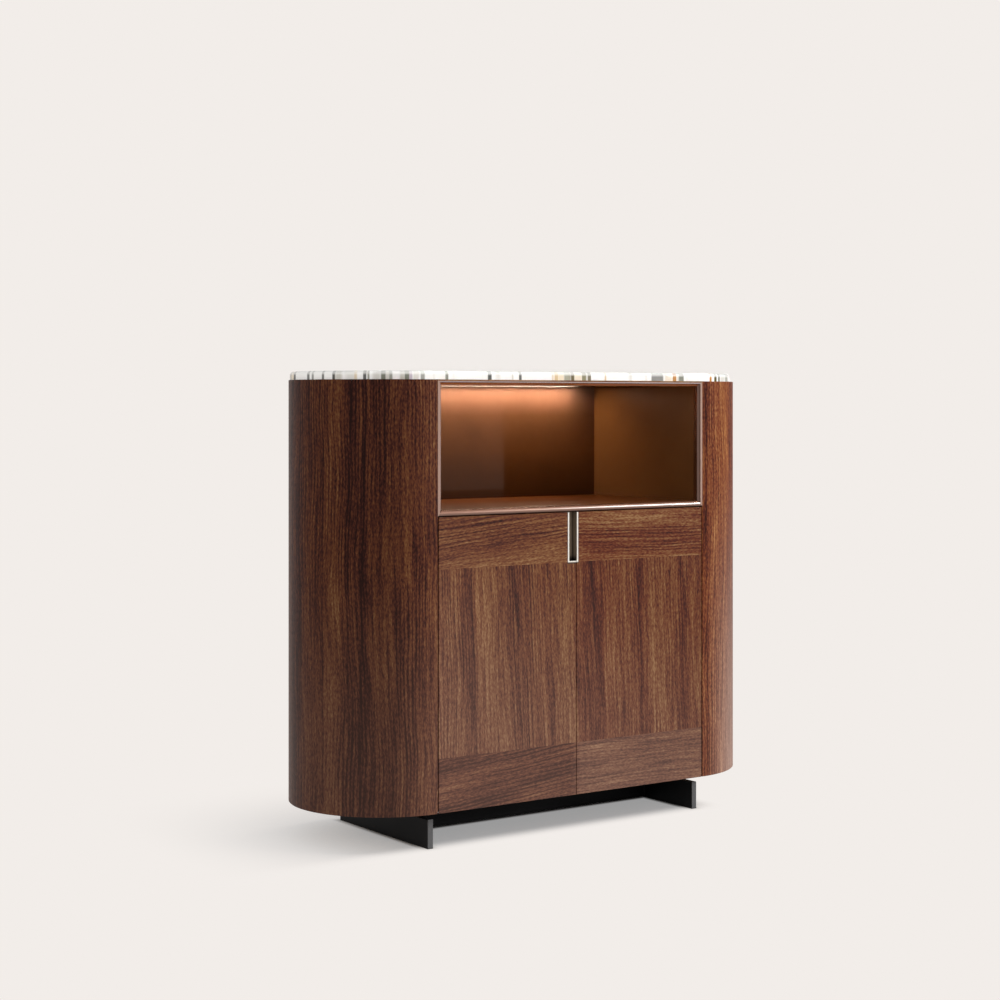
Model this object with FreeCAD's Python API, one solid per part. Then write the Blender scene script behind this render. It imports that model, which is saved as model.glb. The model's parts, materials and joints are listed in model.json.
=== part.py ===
import FreeCAD, Part
import math
import os

# High credenza with rounded ends: a lit niche over two doors, a stone top and a steel base.
# Millimetres. X runs along the front, Y from front to back, Z up.
# The origin is on the floor, under the middle of the body.

Vector = FreeCAD.Vector
UP = Vector(0, 0, 1)

# Overall form
front_flat = 800.0          # straight front between the two rounded ends
depth = 460.0               # front to back; each end is half a circle of this diameter
body_height = 1000.0        # wooden body, bottom edge to underside of the slab
floor_clearance = 86.0      # floor to the bottom edge of the wooden body

# Stone slab
slab_thickness = 20.0
slab_inset = 6.0            # slab edge behind the outline of the body at the ends
slab_setback = 6.0          # slab lies this far back, flush with the back of the body
slab_edge_radius = 8.0      # rounded upper edge

# Board and wall thicknesses
shell_wall = 18.0           # bent plywood of the rounded ends
partition_board = 18.0
rib_board = 18.0
back_board = 18.0
bottom_board = 22.0
deck_board = 22.0
shelf_board = 20.0
door_board = 24.0
niche_board = 12.0          # side walls, ceiling and back of the niche
edge_ease = 0.8             # small chamfer along the show edges of the veneered pieces
glue_gap = 0.2              # glue line between a curved edge and the shell it fits

# Niche and its metal frame
niche_floor_height = 698.0  # niche floor above the bottom edge of the body
rail_height = 14.0          # lower rail of the frame, flush with the niche floor
frame_depth = 20.0
lipping_height = 2.5        # walnut lipping between the stone and the upper rail
cove_radius = 6.0           # hollow moulding on the stiles and the upper rail
nose_radius = 8.0           # rounded upper front edge of the lower rail
nose_under_radius = 4.0     # rounded lower front edge of the lower rail

# Light in the niche ceiling
light_length = 622.0
light_from_back = 30.0      # middle of the light line in front of the niche back
channel_width = 14.0
channel_height = 9.0
channel_wall = 1.2
led_board_width = 8.0
led_board_thickness = 1.5
diffuser_thickness = 1.6
diffuser_recess = 1.0       # the cover sits back in its channel, so that it doesn't dazzle
driver_length = 160.0
driver_width = 46.0
driver_height = 26.0
driver_from_back = 16.0
driver_corner = 4.0
driver_ear = 12.0
driver_ear_thickness = 3.0
grommet_x = 300.0
grommet_height = 90.0       # middle of the grommet above the bottom edge of the body
grommet_radius = 15.0
grommet_wall = 3.0
grommet_flange = 5.0
grommet_flange_thickness = 2.0

# Doors
door_side_gap = 2.4         # door edge to end shell
door_top_gap = 2.0          # door edge to lower rail
door_seam = 1.2             # between the two doors
carcass_setback = 3.5       # room behind the doors for the turning heel

# Offset knife hinges
hinge_from_edge = 10.0      # pivot axis from the outer edge of the door
hinge_from_front = 7.0      # pivot axis from the front of the door
strap_thickness = 4.0
strap_nose_radius = 5.0
strap_shoulder = 6.0        # narrow tongue runs this far into the carcass board
strap_plate_width = 40.0
strap_plate_length = 52.0
strap_clearance = 0.5       # rebate in the door around the turning tongue
thrust_height = 1.0         # room between strap and door, where the bush takes the thrust
thrust_clearance = 0.1
pin_radius = 2.5
pin_end_gap = 0.6           # pin ends this far inside the bush
pin_running_gap = 0.05      # radial running clearance, pin in bush
press_gap = 0.02            # radial gap at pressed and glued round seats
bush_radius = 4.0
bush_length = 12.0
strap_screw_pitch = 26.0
strap_screw_radius = 2.0
strap_screw_head = 4.0
strap_screw_length = 16.0

# Flush handle at the seam
handle_height = 122.5
handle_rim = 5.0            # bright face round the finger recess
handle_recess = 20.0        # clear width between the rims
handle_recess_depth = 16.0
handle_wall = 2.0
handle_lip = 3.0            # thickness of the rim that the fingers hook behind

# Magnetic catches
catch_width = 46.0
catch_length = 38.0
catch_height = 14.0
catch_corner = 3.0
catch_from_seam = 42.0
catch_gap = 0.3
strike_width = 36.0
strike_height = 12.0
strike_thickness = 1.5

# Shelf
shelf_height = 340.0        # shelf underside above the bottom edge of the body
shelf_side_gap = 0.8
shelf_front_setback = 14.0  # shelf front behind the carcass front
shelf_back_gap = 2.0
shelf_pin_radius = 2.5
shelf_pin_seat = 9.0        # pin length in the partition
shelf_pin_reach = 10.0      # pin length under the shelf
shelf_pin_inset = 60.0      # pin holes from the shelf's front and back edges
pin_hole_pitch = 32.0
pin_holes_each_way = 1      # spare holes above and below the pins in use

# Base
base_plate_thickness = 15.0
base_plate_length = 397.0
base_plate_spread = 800.0   # between the middles of the two cross plates
base_gap = 18.0             # shadow gap between the plates and the body
base_ease = 0.8
pad_thickness = 2.0
plinth_length = 860.0
plinth_width = 210.0
plinth_corner = 20.0
plate_screw_spread = 140.0
plate_screw_radius = 3.0
plate_screw_head = 6.0
plate_screw_length = 40.0
plinth_screw_columns = 3
plinth_screw_pitch = 220.0
plinth_screw_spread = 150.0
plinth_screw_radius = 2.5
plinth_screw_head = 5.0
plinth_screw_length = 34.0

# Small rounds that nothing turns in are drawn with flats
small_round_sides = 8
grommet_sides = 24

# Cutting tools run this far past the material that they open
overshoot = 5.0

# Levels and planes that follow from the sizes above
end_radius = depth / 2
front_half = front_flat / 2
front_y = -depth / 2
back_y = depth / 2
back_inner_y = back_y - back_board
body_bottom = floor_clearance
body_top = body_bottom + body_height
hollow_radius = end_radius - shell_wall
niche_floor_top = body_bottom + niche_floor_height
rail_bottom = niche_floor_top - rail_height
door_top = rail_bottom - door_top_gap
door_back_y = front_y + door_board
carcass_front_y = door_back_y + carcass_setback
deck_top = door_top
deck_bottom = deck_top - deck_board
bottom_top = body_bottom + bottom_board
niche_half = front_half - niche_board
niche_ceiling = body_top - niche_board
niche_back_y = back_inner_y - niche_board
frame_back_y = front_y + frame_depth
frame_top = body_top - lipping_height
mitre_half = niche_half + frame_top - niche_ceiling
shelf_bottom = body_bottom + shelf_height
door_outer_x = front_half - door_side_gap
door_inner_x = door_seam / 2
hinge_x = door_outer_x - hinge_from_edge
hinge_y = front_y + hinge_from_front
rebate_height = strap_thickness + thrust_height
rebate_radius = strap_nose_radius + strap_clearance
plate_top = body_bottom - base_gap
plate_x = base_plate_spread / 2
handle_bottom = door_top - handle_height


def box(x0, x1, y0, y1, z0, z1):
    """Upright block between three pairs of planes."""
    return Part.makeBox(x1 - x0, y1 - y0, z1 - z0, Vector(x0, y0, z0))


def prism(points, direction):
    """Straight-sided outline pushed along a direction."""
    return Part.Face(Part.makePolygon(points + points[:1])).extrude(direction)


def mirrored(shape):
    """The same piece for the other side of the middle plane."""
    return shape.mirror(Vector(0, 0, 0), Vector(1, 0, 0))


def fused(shapes):
    """Several overlapping solids as one clean solid."""
    return shapes[0].fuse(shapes[1:]).removeSplitter()


def middle(edge):
    """Point half way along an edge."""
    return edge.valueAt((edge.FirstParameter + edge.LastParameter) / 2)


def chosen_edges(shape, test):
    """Edges of a solid whose middle point passes a test."""
    return [edge for edge in shape.Edges if test(middle(edge))]


def near(a, b):
    """True where two coordinates are the same plane."""
    return abs(a - b) < 1e-6


def flat_ring(centre, direction, radius, sides=small_round_sides):
    """Corners of a small round, drawn with flats, about an axis along X, Y or Z."""
    side = Vector(direction.y, direction.z, direction.x)
    other = direction.cross(side)
    turns = [2 * math.pi * index / sides for index in range(sides)]
    return [centre + side * radius * math.cos(turn) + other * radius * math.sin(turn) for turn in turns]


def flat_round(centre, direction, radius, length, sides=small_round_sides):
    """Small round bar, drawn with flats, from centre along the axis."""
    return prism(flat_ring(centre, direction, radius, sides), direction * length)


def frustum(start, end):
    """Flat-sided solid between two rings of corners."""
    sides = [[start[index - 1], start[index], end[index], end[index - 1]] for index in range(len(start))]
    faces = [Part.Face(Part.makePolygon(corners + corners[:1])) for corners in [start, end] + sides]
    solid = Part.Solid(Part.Shell(faces))
    return solid if solid.Volume > 0 else solid.reversed()


def screw(head_centre, direction, shank_radius, head_radius, length):
    """Upright countersunk screw, drawn with flats; its head is flush at head_centre."""
    head_height = head_radius - shank_radius
    neck = flat_ring(head_centre + direction * head_height, direction, shank_radius)
    head = frustum(flat_ring(head_centre, direction, head_radius), neck)
    return fused([head, prism(neck, direction * (length - head_height))])


def screw_seat(head_centre, direction, shank_radius, head_radius, length):
    """Hole for such a screw, wider all round by the press gap."""
    return screw(head_centre, direction, shank_radius + press_gap, head_radius + press_gap,
                 length + press_gap)


# Stone slab: a stadium outline with a rounded upper edge
def stadium_face(radius, z):
    right_arc = Part.Arc(Vector(front_half, -radius, z), Vector(front_half + radius, 0, z),
                         Vector(front_half, radius, z))
    left_arc = Part.Arc(Vector(-front_half, radius, z), Vector(-front_half - radius, 0, z),
                        Vector(-front_half, -radius, z))
    back = Part.LineSegment(Vector(front_half, radius, z), Vector(-front_half, radius, z))
    front = Part.LineSegment(Vector(-front_half, -radius, z), Vector(front_half, -radius, z))
    return Part.Face(Part.Wire([curve.toShape() for curve in (right_arc, back, left_arc, front)]))


def marble_top():
    slab = stadium_face(end_radius - slab_inset, body_top).extrude(UP * slab_thickness)
    slab.translate(Vector(0, slab_setback, 0))
    slab_top = body_top + slab_thickness
    return slab.makeFillet(slab_edge_radius, chosen_edges(slab, lambda p: near(p.z, slab_top)))


# Rounded ends: a bent half ring of plywood, held to shape by half-moon ribs
def end_shell():
    def half_arc(radius, sign):
        return Part.Arc(Vector(front_half, -sign * radius, body_bottom),
                        Vector(front_half + radius, 0, body_bottom),
                        Vector(front_half, sign * radius, body_bottom)).toShape()

    def end_line(y0, y1):
        return Part.makeLine(Vector(front_half, y0, body_bottom), Vector(front_half, y1, body_bottom))

    outline = Part.Wire([half_arc(end_radius, 1), end_line(back_y, hollow_radius),
                         half_arc(hollow_radius, -1), end_line(-hollow_radius, front_y)])
    shell = Part.Face(outline).extrude(UP * body_height)
    show_edges = chosen_edges(shell, lambda p: near(math.hypot(p.x - front_half, p.y), end_radius))
    return shell.makeChamfer(edge_ease, show_edges)


def end_board(x0, x1, z0, z1):
    """Board across the hollow end, trimmed to the inside of the shell."""
    reach = hollow_radius - glue_gap
    hollow = Part.makeCylinder(reach, z1 - z0, Vector(front_half, 0, z0))
    return hollow.common(box(x0, x1, -reach, reach, z0, z1))


def end_rib(z0):
    """Half-moon rib, glued to the partition."""
    return end_board(front_half + partition_board, front_half + hollow_radius, z0, z0 + rib_board)


# Shelf supports: a column of holes near each edge of the shelf, with pins in the middle ones
shelf_front_y = carcass_front_y + shelf_front_setback
shelf_back_y = back_inner_y - shelf_back_gap
shelf_pin_columns = (shelf_front_y + shelf_pin_inset, shelf_back_y - shelf_pin_inset)
shelf_pin_level = shelf_bottom - shelf_pin_radius


def shelf_pin(y, z, radius, seat, reach):
    return flat_round(Vector(front_half - reach, y, z), Vector(1, 0, 0), radius, seat + reach)


def partition():
    board = end_board(front_half, front_half + partition_board, body_bottom, body_top)
    holes = []
    for step in range(-pin_holes_each_way, pin_holes_each_way + 1):
        level = shelf_pin_level + step * pin_hole_pitch
        for y in shelf_pin_columns:
            holes.append(shelf_pin(y, level, shelf_pin_radius + press_gap, shelf_pin_seat, overshoot))
    return board.cut(holes)


def shelf_pins():
    right = [shelf_pin(y, shelf_pin_level, shelf_pin_radius, shelf_pin_seat, shelf_pin_reach)
             for y in shelf_pin_columns]
    return Part.makeCompound(right + [mirrored(pin) for pin in right])


def shelf():
    half = front_half - shelf_side_gap
    board = box(-half, half, shelf_front_y, shelf_back_y, shelf_bottom, shelf_bottom + shelf_board)
    front_edges = chosen_edges(board, lambda p: near(p.y, shelf_front_y) and not near(abs(p.x), half))
    return board.makeChamfer(edge_ease, front_edges)


# Offset knife hinge for the right door: strap in the carcass, pin on the axis, bush in the door.
# The lower strap lies flush in the underside of the bottom panel, the upper one in the deck's top.
strap_plate_front = carcass_front_y + strap_shoulder
strap_plate_back = strap_plate_front + strap_plate_length
strap_outer_x = hinge_x + strap_nose_radius
strap_screw_x = strap_outer_x - strap_plate_width / 2
strap_screw_middle = (strap_plate_front + strap_plate_back) / 2


def strap_blank(z0):
    nose = Part.makeCylinder(strap_nose_radius, strap_thickness, Vector(hinge_x, hinge_y, z0))
    tongue = box(hinge_x - strap_nose_radius, strap_outer_x, hinge_y, strap_plate_back,
                 z0, z0 + strap_thickness)
    plate = box(strap_outer_x - strap_plate_width, strap_outer_x, strap_plate_front,
                strap_plate_back, z0, z0 + strap_thickness)
    return fused([nose, tongue, plate])


def strap_screw_places(face_z):
    offsets = (-strap_screw_pitch / 2, strap_screw_pitch / 2)
    return [Vector(strap_screw_x, strap_screw_middle + offset, face_z) for offset in offsets]


def strap_screw_set(maker, face_z, direction):
    return [maker(place, direction, strap_screw_radius, strap_screw_head, strap_screw_length)
            for place in strap_screw_places(face_z)]


def strap(face_z, direction):
    """Strap whose outer face is at face_z; direction points from that face into the carcass."""
    blank = strap_blank(min(face_z, face_z + direction.z * strap_thickness))
    pin_hole = Part.makeCylinder(pin_radius + press_gap, strap_thickness + 2 * overshoot,
                                 Vector(hinge_x, hinge_y, face_z) - direction * overshoot, direction)
    return blank.cut([pin_hole] + strap_screw_set(screw_seat, face_z, direction))


def pivot_pin(face_z, direction):
    """Pin flush with the outer face of the strap, standing in the bush."""
    length = strap_thickness + thrust_height + bush_length - pin_end_gap
    return Part.makeCylinder(pin_radius, length, Vector(hinge_x, hinge_y, face_z), direction)


def pivot_bush(face_z, direction):
    """Bush pressed into the door; its end stands proud and takes the thrust on the strap."""
    axis_foot = Vector(hinge_x, hinge_y, face_z)
    barrel = Part.makeCylinder(bush_radius, thrust_height - thrust_clearance + bush_length,
                               axis_foot + direction * (strap_thickness + thrust_clearance), direction)
    bore = Part.makeCylinder(pin_radius + pin_running_gap, rebate_height + bush_length + overshoot,
                             axis_foot, direction)
    return barrel.cut(bore)


def door_hinge_cuts(face_z, direction):
    """Rebate that the strap's tongue turns in through a quarter turn, and the seat of the bush."""
    outer_z = face_z - direction.z * overshoot
    inner_z = face_z + direction.z * rebate_height
    low, high = min(outer_z, inner_z), max(outer_z, inner_z)
    past_edge = door_outer_x + overshoot
    past_back = door_back_y + overshoot
    heel = box(hinge_x, past_edge, hinge_y - rebate_radius, past_back, low, high)
    side = box(hinge_x - rebate_radius, hinge_x, hinge_y, past_back, low, high)
    corner = Part.makeCylinder(rebate_radius, high - low, Vector(hinge_x, hinge_y, low))
    seat = Part.makeCylinder(bush_radius + press_gap, rebate_height + bush_length,
                             Vector(hinge_x, hinge_y, face_z), direction)
    return [fused([heel, side, corner]), seat]


hinge_places = {"bottom": (body_bottom, UP), "top": (door_top, -UP)}


# Carcass boards between the partitions
def hinge_board(z0, z1, place):
    """Board behind the doors with pockets for a pair of straps and their screws."""
    face_z, direction = hinge_places[place]
    board = box(-front_half, front_half, carcass_front_y, back_inner_y, z0, z1)
    pocket = strap_blank(min(face_z, face_z + direction.z * strap_thickness))
    cuts = [pocket] + strap_screw_set(screw_seat, face_z, direction)
    return board.cut(cuts + [mirrored(cut) for cut in cuts])


grommet_z = body_bottom + grommet_height


def back_panel():
    panel = box(-front_half, front_half, back_inner_y, back_y, body_bottom, body_top)
    outward = Vector(0, 1, 0)
    hole_centre = Vector(grommet_x, back_inner_y - overshoot, grommet_z)
    hole = flat_round(hole_centre, outward, grommet_radius + press_gap, back_board + 2 * overshoot,
                      grommet_sides)
    flange_centre = Vector(grommet_x, back_y - grommet_flange_thickness, grommet_z)
    flange_seat = flat_round(flange_centre, outward, grommet_radius + grommet_flange + press_gap,
                             grommet_flange_thickness + overshoot, grommet_sides)
    return panel.cut([hole, flange_seat])


def cable_grommet():
    """Rubber grommet with a closed membrane at the outer face."""
    def disc(behind_face, radius, length):
        centre = Vector(grommet_x, back_y - behind_face - length, grommet_z)
        return flat_round(centre, Vector(0, 1, 0), radius, length, grommet_sides)

    flange = disc(0, grommet_radius + grommet_flange, grommet_flange_thickness)
    barrel = disc(0, grommet_radius, back_board)
    hollow = disc(grommet_flange_thickness, grommet_radius - grommet_wall, back_board)
    return fused([flange, barrel]).cut(hollow)


# Niche lining: the floor lies between the walls, which stand on the deck
light_y = niche_back_y - light_from_back
channel_top = niche_ceiling + channel_height


def light_box(width, length, z0, z1):
    return box(-length / 2, length / 2, light_y - width / 2, light_y + width / 2, z0, z1)


def niche_floor():
    return box(-niche_half, niche_half, frame_back_y, niche_back_y, deck_top, niche_floor_top)


def niche_ceiling_board():
    board = box(-front_half, front_half, frame_back_y, back_inner_y, niche_ceiling, body_top)
    return board.cut(light_box(channel_width, light_length, niche_ceiling - overshoot, channel_top))


def niche_back():
    return box(-front_half, front_half, niche_back_y, back_inner_y, deck_top, niche_ceiling)


def niche_wall():
    return box(niche_half, front_half, frame_back_y, niche_back_y, deck_top, niche_ceiling)


# Metal frame round the niche: moulded bars, mitred at the corners
def cove_section(origin, across, width):
    """Bar section: flat land, then a hollow quarter round to the inner edge."""
    inward = Vector(0, 1, 0)
    land_end = origin + across * (width - cove_radius)
    cove_end = origin + across * width + inward * cove_radius
    slope = math.sqrt(0.5) * cove_radius
    cove_middle = origin + across * (width - slope) + inward * slope
    inner_back = origin + across * width + inward * frame_depth
    outer_back = origin + inward * frame_depth
    edges = [Part.makeLine(origin, land_end), Part.Arc(land_end, cove_middle, cove_end).toShape(),
             Part.makeLine(cove_end, inner_back), Part.makeLine(inner_back, outer_back),
             Part.makeLine(outer_back, origin)]
    return Part.Face(Part.Wire(edges))


def nose_section(x):
    """Lower rail section: a bar with a rounded front."""
    def corner_arc(z_edge, radius, turn):
        centre_y = front_y + radius
        centre_z = z_edge - turn * radius
        slope = math.sqrt(0.5) * radius
        points = [Vector(x, centre_y, z_edge), Vector(x, centre_y - slope, centre_z + turn * slope),
                  Vector(x, front_y, centre_z)]
        return Part.Arc(*points).toShape(), points[0], points[2]

    upper, upper_start, upper_end = corner_arc(niche_floor_top, nose_radius, 1)
    lower, lower_start, lower_end = corner_arc(rail_bottom, nose_under_radius, -1)
    back_low = Vector(x, frame_back_y, rail_bottom)
    back_high = Vector(x, frame_back_y, niche_floor_top)
    edges = [upper, Part.makeLine(upper_end, lower_end), lower, Part.makeLine(lower_start, back_low),
             Part.makeLine(back_low, back_high), Part.makeLine(back_high, upper_start)]
    return Part.Face(Part.Wire(Part.__sortEdges__(edges)))


def mitre_block(corners):
    """Block with slanted ends, the shape of one side of a picture frame."""
    points = [Vector(x, front_y - overshoot, z) for x, z in corners]
    return prism(points, Vector(0, frame_depth + 2 * overshoot, 0))


def frame_stile():
    bar = cove_section(Vector(front_half, front_y, rail_bottom), Vector(-1, 0, 0), niche_board)
    block = mitre_block([(front_half, rail_bottom), (front_half, frame_top), (mitre_half, frame_top),
                         (niche_half, niche_ceiling), (niche_half, niche_floor_top)])
    return bar.extrude(UP * (frame_top - rail_bottom)).common(block)


def frame_top_rail():
    bar = cove_section(Vector(-front_half, front_y, frame_top), Vector(0, 0, -1), frame_top - niche_ceiling)
    block = mitre_block([(-mitre_half, frame_top), (mitre_half, frame_top),
                         (niche_half, niche_ceiling), (-niche_half, niche_ceiling)])
    return bar.extrude(Vector(front_flat, 0, 0)).common(block)


def top_lipping():
    """Thin walnut strip that covers the frame towards the stone."""
    return box(-front_half, front_half, front_y, frame_back_y, frame_top, body_top)


def frame_bottom_rail():
    block = mitre_block([(-front_half, rail_bottom), (front_half, rail_bottom),
                         (niche_half, niche_floor_top), (-niche_half, niche_floor_top)])
    return nose_section(-front_half).extrude(Vector(front_flat, 0, 0)).common(block)


# Light: aluminium channel let into the ceiling, with a diode board and a frosted cover
def led_channel():
    outer = light_box(channel_width, light_length, niche_ceiling, channel_top)
    inner = light_box(channel_width - 2 * channel_wall, light_length - 2 * channel_wall,
                      niche_ceiling - overshoot, channel_top - channel_wall)
    return outer.cut(inner)


def led_board():
    top = channel_top - channel_wall
    return light_box(led_board_width, light_length - 2 * channel_wall, top - led_board_thickness, top)


def led_diffuser():
    z0 = niche_ceiling + diffuser_recess
    return light_box(channel_width - 2 * channel_wall, light_length - 2 * channel_wall,
                     z0, z0 + diffuser_thickness)


def led_driver():
    """Power supply under the deck, on two screw ears."""
    y1 = back_inner_y - driver_from_back
    y0 = y1 - driver_width
    half = driver_length / 2
    case = box(-half, half, y0, y1, deck_bottom - driver_height, deck_bottom)
    corners = chosen_edges(case, lambda p: near(p.z, deck_bottom - driver_height / 2))
    case = case.makeChamfer(driver_corner, corners)
    ears = box(-half - driver_ear, half + driver_ear, y0 + driver_ear, y1 - driver_ear,
               deck_bottom - driver_ear_thickness, deck_bottom)
    return fused([case, ears])


# Doors
def door_blank():
    """Right door board with eased front edges, ready for its hinge and handle cuts."""
    board = box(door_inner_x, door_outer_x, front_y, door_back_y, body_bottom, door_top)
    board = board.makeChamfer(edge_ease, chosen_edges(board, lambda p: near(p.y, front_y)))
    cuts = []
    for face_z, direction in hinge_places.values():
        cuts += door_hinge_cuts(face_z, direction)
    return board.cut(cuts)


def recess_x(distance):
    """X of a line that lies this far from the left door's meeting edge, towards the left."""
    return -door_inner_x - distance


handle_width = handle_recess + handle_rim
handle_lip_y = front_y + handle_lip
handle_bed_y = front_y + handle_recess_depth
handle_back_y = handle_bed_y + handle_wall


def handle_channel():
    """Finger recess in the left door: a rim to hook behind, a bed, and a closed lower end."""
    outer, inner = recess_x(handle_width), recess_x(handle_recess)
    undercut, edge = recess_x(handle_width - handle_wall), recess_x(0)
    plan = [(outer, front_y), (inner, front_y), (inner, handle_lip_y), (undercut, handle_lip_y),
            (undercut, handle_bed_y), (edge, handle_bed_y), (edge, handle_back_y), (outer, handle_back_y)]
    walls = prism([Vector(x, y, handle_bottom) for x, y in plan], UP * handle_height)
    foot_rim = box(outer, edge, front_y, handle_lip_y, handle_bottom, handle_bottom + handle_rim)
    foot_plate = box(outer, edge, front_y, handle_back_y, handle_bottom, handle_bottom + handle_wall)
    return fused([walls, foot_rim, foot_plate])


def handle_edge_strip():
    """Bright edge of the right door that closes the recess: a flange and a leaf."""
    edge, flange = door_inner_x, door_inner_x + handle_rim
    leaf = door_inner_x + handle_wall
    plan = [(edge, front_y), (flange, front_y), (flange, handle_lip_y), (leaf, handle_lip_y),
            (leaf, handle_back_y), (edge, handle_back_y)]
    return prism([Vector(x, y, handle_bottom) for x, y in plan], UP * handle_height)


def left_door_panel():
    housing = box(recess_x(handle_width), recess_x(0) + overshoot, front_y - overshoot, handle_back_y,
                  handle_bottom, door_top + overshoot)
    return mirrored(door_blank()).cut(housing)


def right_door_panel():
    edge, flange, leaf = door_inner_x, door_inner_x + handle_rim, door_inner_x + handle_wall
    past_edge, past_front = edge - overshoot, front_y - overshoot
    past_top = door_top + overshoot
    flange_seat = box(past_edge, flange, past_front, handle_lip_y, handle_bottom, past_top)
    leaf_seat = box(past_edge, leaf, past_front, handle_back_y, handle_bottom, past_top)
    return door_blank().cut([flange_seat, leaf_seat])


# Magnetic catch under the deck, and its strike plate on the back of the door
catch_front_y = door_back_y + strike_thickness + catch_gap


def magnetic_catch():
    x0 = catch_from_seam - catch_width / 2
    body = box(x0, x0 + catch_width, catch_front_y, catch_front_y + catch_length,
               deck_bottom - catch_height, deck_bottom)
    corners = chosen_edges(body, lambda p: near(p.z, deck_bottom - catch_height / 2))
    return body.makeChamfer(catch_corner, corners)


def strike_plate():
    x0 = catch_from_seam - strike_width / 2
    middle_z = deck_bottom - catch_height / 2
    return box(x0, x0 + strike_width, door_back_y, door_back_y + strike_thickness,
               middle_z - strike_height / 2, middle_z + strike_height / 2)


# Base: two steel cross plates and a spine on edge, under a plinth board that leaves a shadow gap
def plate_screw_set(maker):
    return [maker(Vector(plate_x, y, body_bottom), -UP, plate_screw_radius, plate_screw_head,
                  plate_screw_length)
            for y in (-plate_screw_spread / 2, plate_screw_spread / 2)]


def plinth_screw_set(maker):
    first = -(plinth_screw_columns - 1) / 2
    columns = [(first + index) * plinth_screw_pitch for index in range(plinth_screw_columns)]
    return [maker(Vector(x, y, plate_top), UP, plinth_screw_radius, plinth_screw_head,
                  plinth_screw_length)
            for x in columns for y in (-plinth_screw_spread / 2, plinth_screw_spread / 2)]


def plinth_board():
    board = box(-plinth_length / 2, plinth_length / 2, -plinth_width / 2, plinth_width / 2,
                plate_top, body_bottom)
    level = (plate_top + body_bottom) / 2
    board = board.makeFillet(plinth_corner, chosen_edges(board, lambda p: near(p.z, level)))
    right = plate_screw_set(screw_seat)
    return board.cut(right + [mirrored(seat) for seat in right] + plinth_screw_set(screw_seat))


def base_plate():
    half = base_plate_thickness / 2
    plate = box(plate_x - half, plate_x + half, -base_plate_length / 2, base_plate_length / 2,
                pad_thickness, plate_top)
    plate = plate.makeChamfer(base_ease, chosen_edges(plate, lambda p: not near(p.z, pad_thickness)))
    return plate.cut(plate_screw_set(screw_seat))


def base_pad():
    half = base_plate_thickness / 2
    return box(plate_x - half, plate_x + half, -base_plate_length / 2, base_plate_length / 2,
               0, pad_thickness)


def base_spine():
    reach = plate_x - base_plate_thickness / 2
    half = base_plate_thickness / 2
    return box(-reach, reach, -half, half, pad_thickness, plate_top)


def bottom_panel():
    panel = hinge_board(body_bottom, bottom_top, "bottom")
    return panel.cut(plinth_screw_set(screw_seat))


def strap_screws():
    right = []
    for face_z, direction in hinge_places.values():
        right += strap_screw_set(screw, face_z, direction)
    return Part.makeCompound(right + [mirrored(piece) for piece in right])


def plate_screws():
    right = plate_screw_set(screw)
    return Part.makeCompound(right + [mirrored(piece) for piece in right])


# Every piece under its own name
pieces = {
    "marble_top": marble_top(),
    "back_panel": back_panel(),
    "cable_grommet": cable_grommet(),
    "bottom_panel": bottom_panel(),
    "mid_deck": hinge_board(deck_bottom, deck_top, "top"),
    "shelf": shelf(),
    "shelf_pins": shelf_pins(),
    "niche_floor": niche_floor(),
    "niche_ceiling": niche_ceiling_board(),
    "niche_back": niche_back(),
    "frame_top_rail": frame_top_rail(),
    "top_lipping": top_lipping(),
    "frame_bottom_rail": frame_bottom_rail(),
    "led_channel": led_channel(),
    "led_board": led_board(),
    "led_diffuser": led_diffuser(),
    "led_driver": led_driver(),
    "strap_screws": strap_screws(),
    "plinth_board": plinth_board(),
    "plinth_screws": Part.makeCompound(plinth_screw_set(screw)),
    "plate_screws": plate_screws(),
    "base_spine": base_spine(),
    "left_door_panel": left_door_panel(),
    "right_door_panel": right_door_panel(),
    "handle_channel": handle_channel(),
    "handle_edge_strip": handle_edge_strip(),
}

# Pieces that come in mirrored pairs, modelled on the right
rib_levels = {"bottom": body_bottom, "middle": (body_bottom + body_top - rib_board) / 2,
              "top": body_top - rib_board}
right_pieces = {
    "end_shell": end_shell(),
    "partition": partition(),
    "niche_wall": niche_wall(),
    "frame_stile": frame_stile(),
    "catch": magnetic_catch(),
    "strike_plate": strike_plate(),
    "base_plate": base_plate(),
    "base_pad": base_pad(),
    "pivot_pins": Part.makeCompound([pivot_pin(*place) for place in hinge_places.values()]),
    "pivot_bushes": Part.makeCompound([pivot_bush(*place) for place in hinge_places.values()]),
}
for level_name, level in rib_levels.items():
    right_pieces[level_name + "_rib"] = end_rib(level)
for place_name, place in hinge_places.items():
    right_pieces[place_name + "_strap"] = strap(*place)
for name, shape in right_pieces.items():
    pieces["right_" + name] = shape
    pieces["left_" + name] = mirrored(shape)

os.makedirs("parts", exist_ok=True)
for name, shape in pieces.items():
    shape.exportStep("parts/" + name + ".step")
    print(name, "solids", len(shape.Solids), "volume", round(shape.Volume), "valid", shape.isValid())
print("pieces", len(pieces))
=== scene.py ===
# %% [markdown]
# A high credenza with rounded ends: walnut veneer, a lit bronze niche, a banded stone top and a black
# steel base. The engineering model already holds every board, bar and hinge at its real size. This lesson
# dresses it. We load the model first and never move it, so each finish and each extra piece has a fixed
# thing to sit on.

# %% Load the frame
import json
import math

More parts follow.
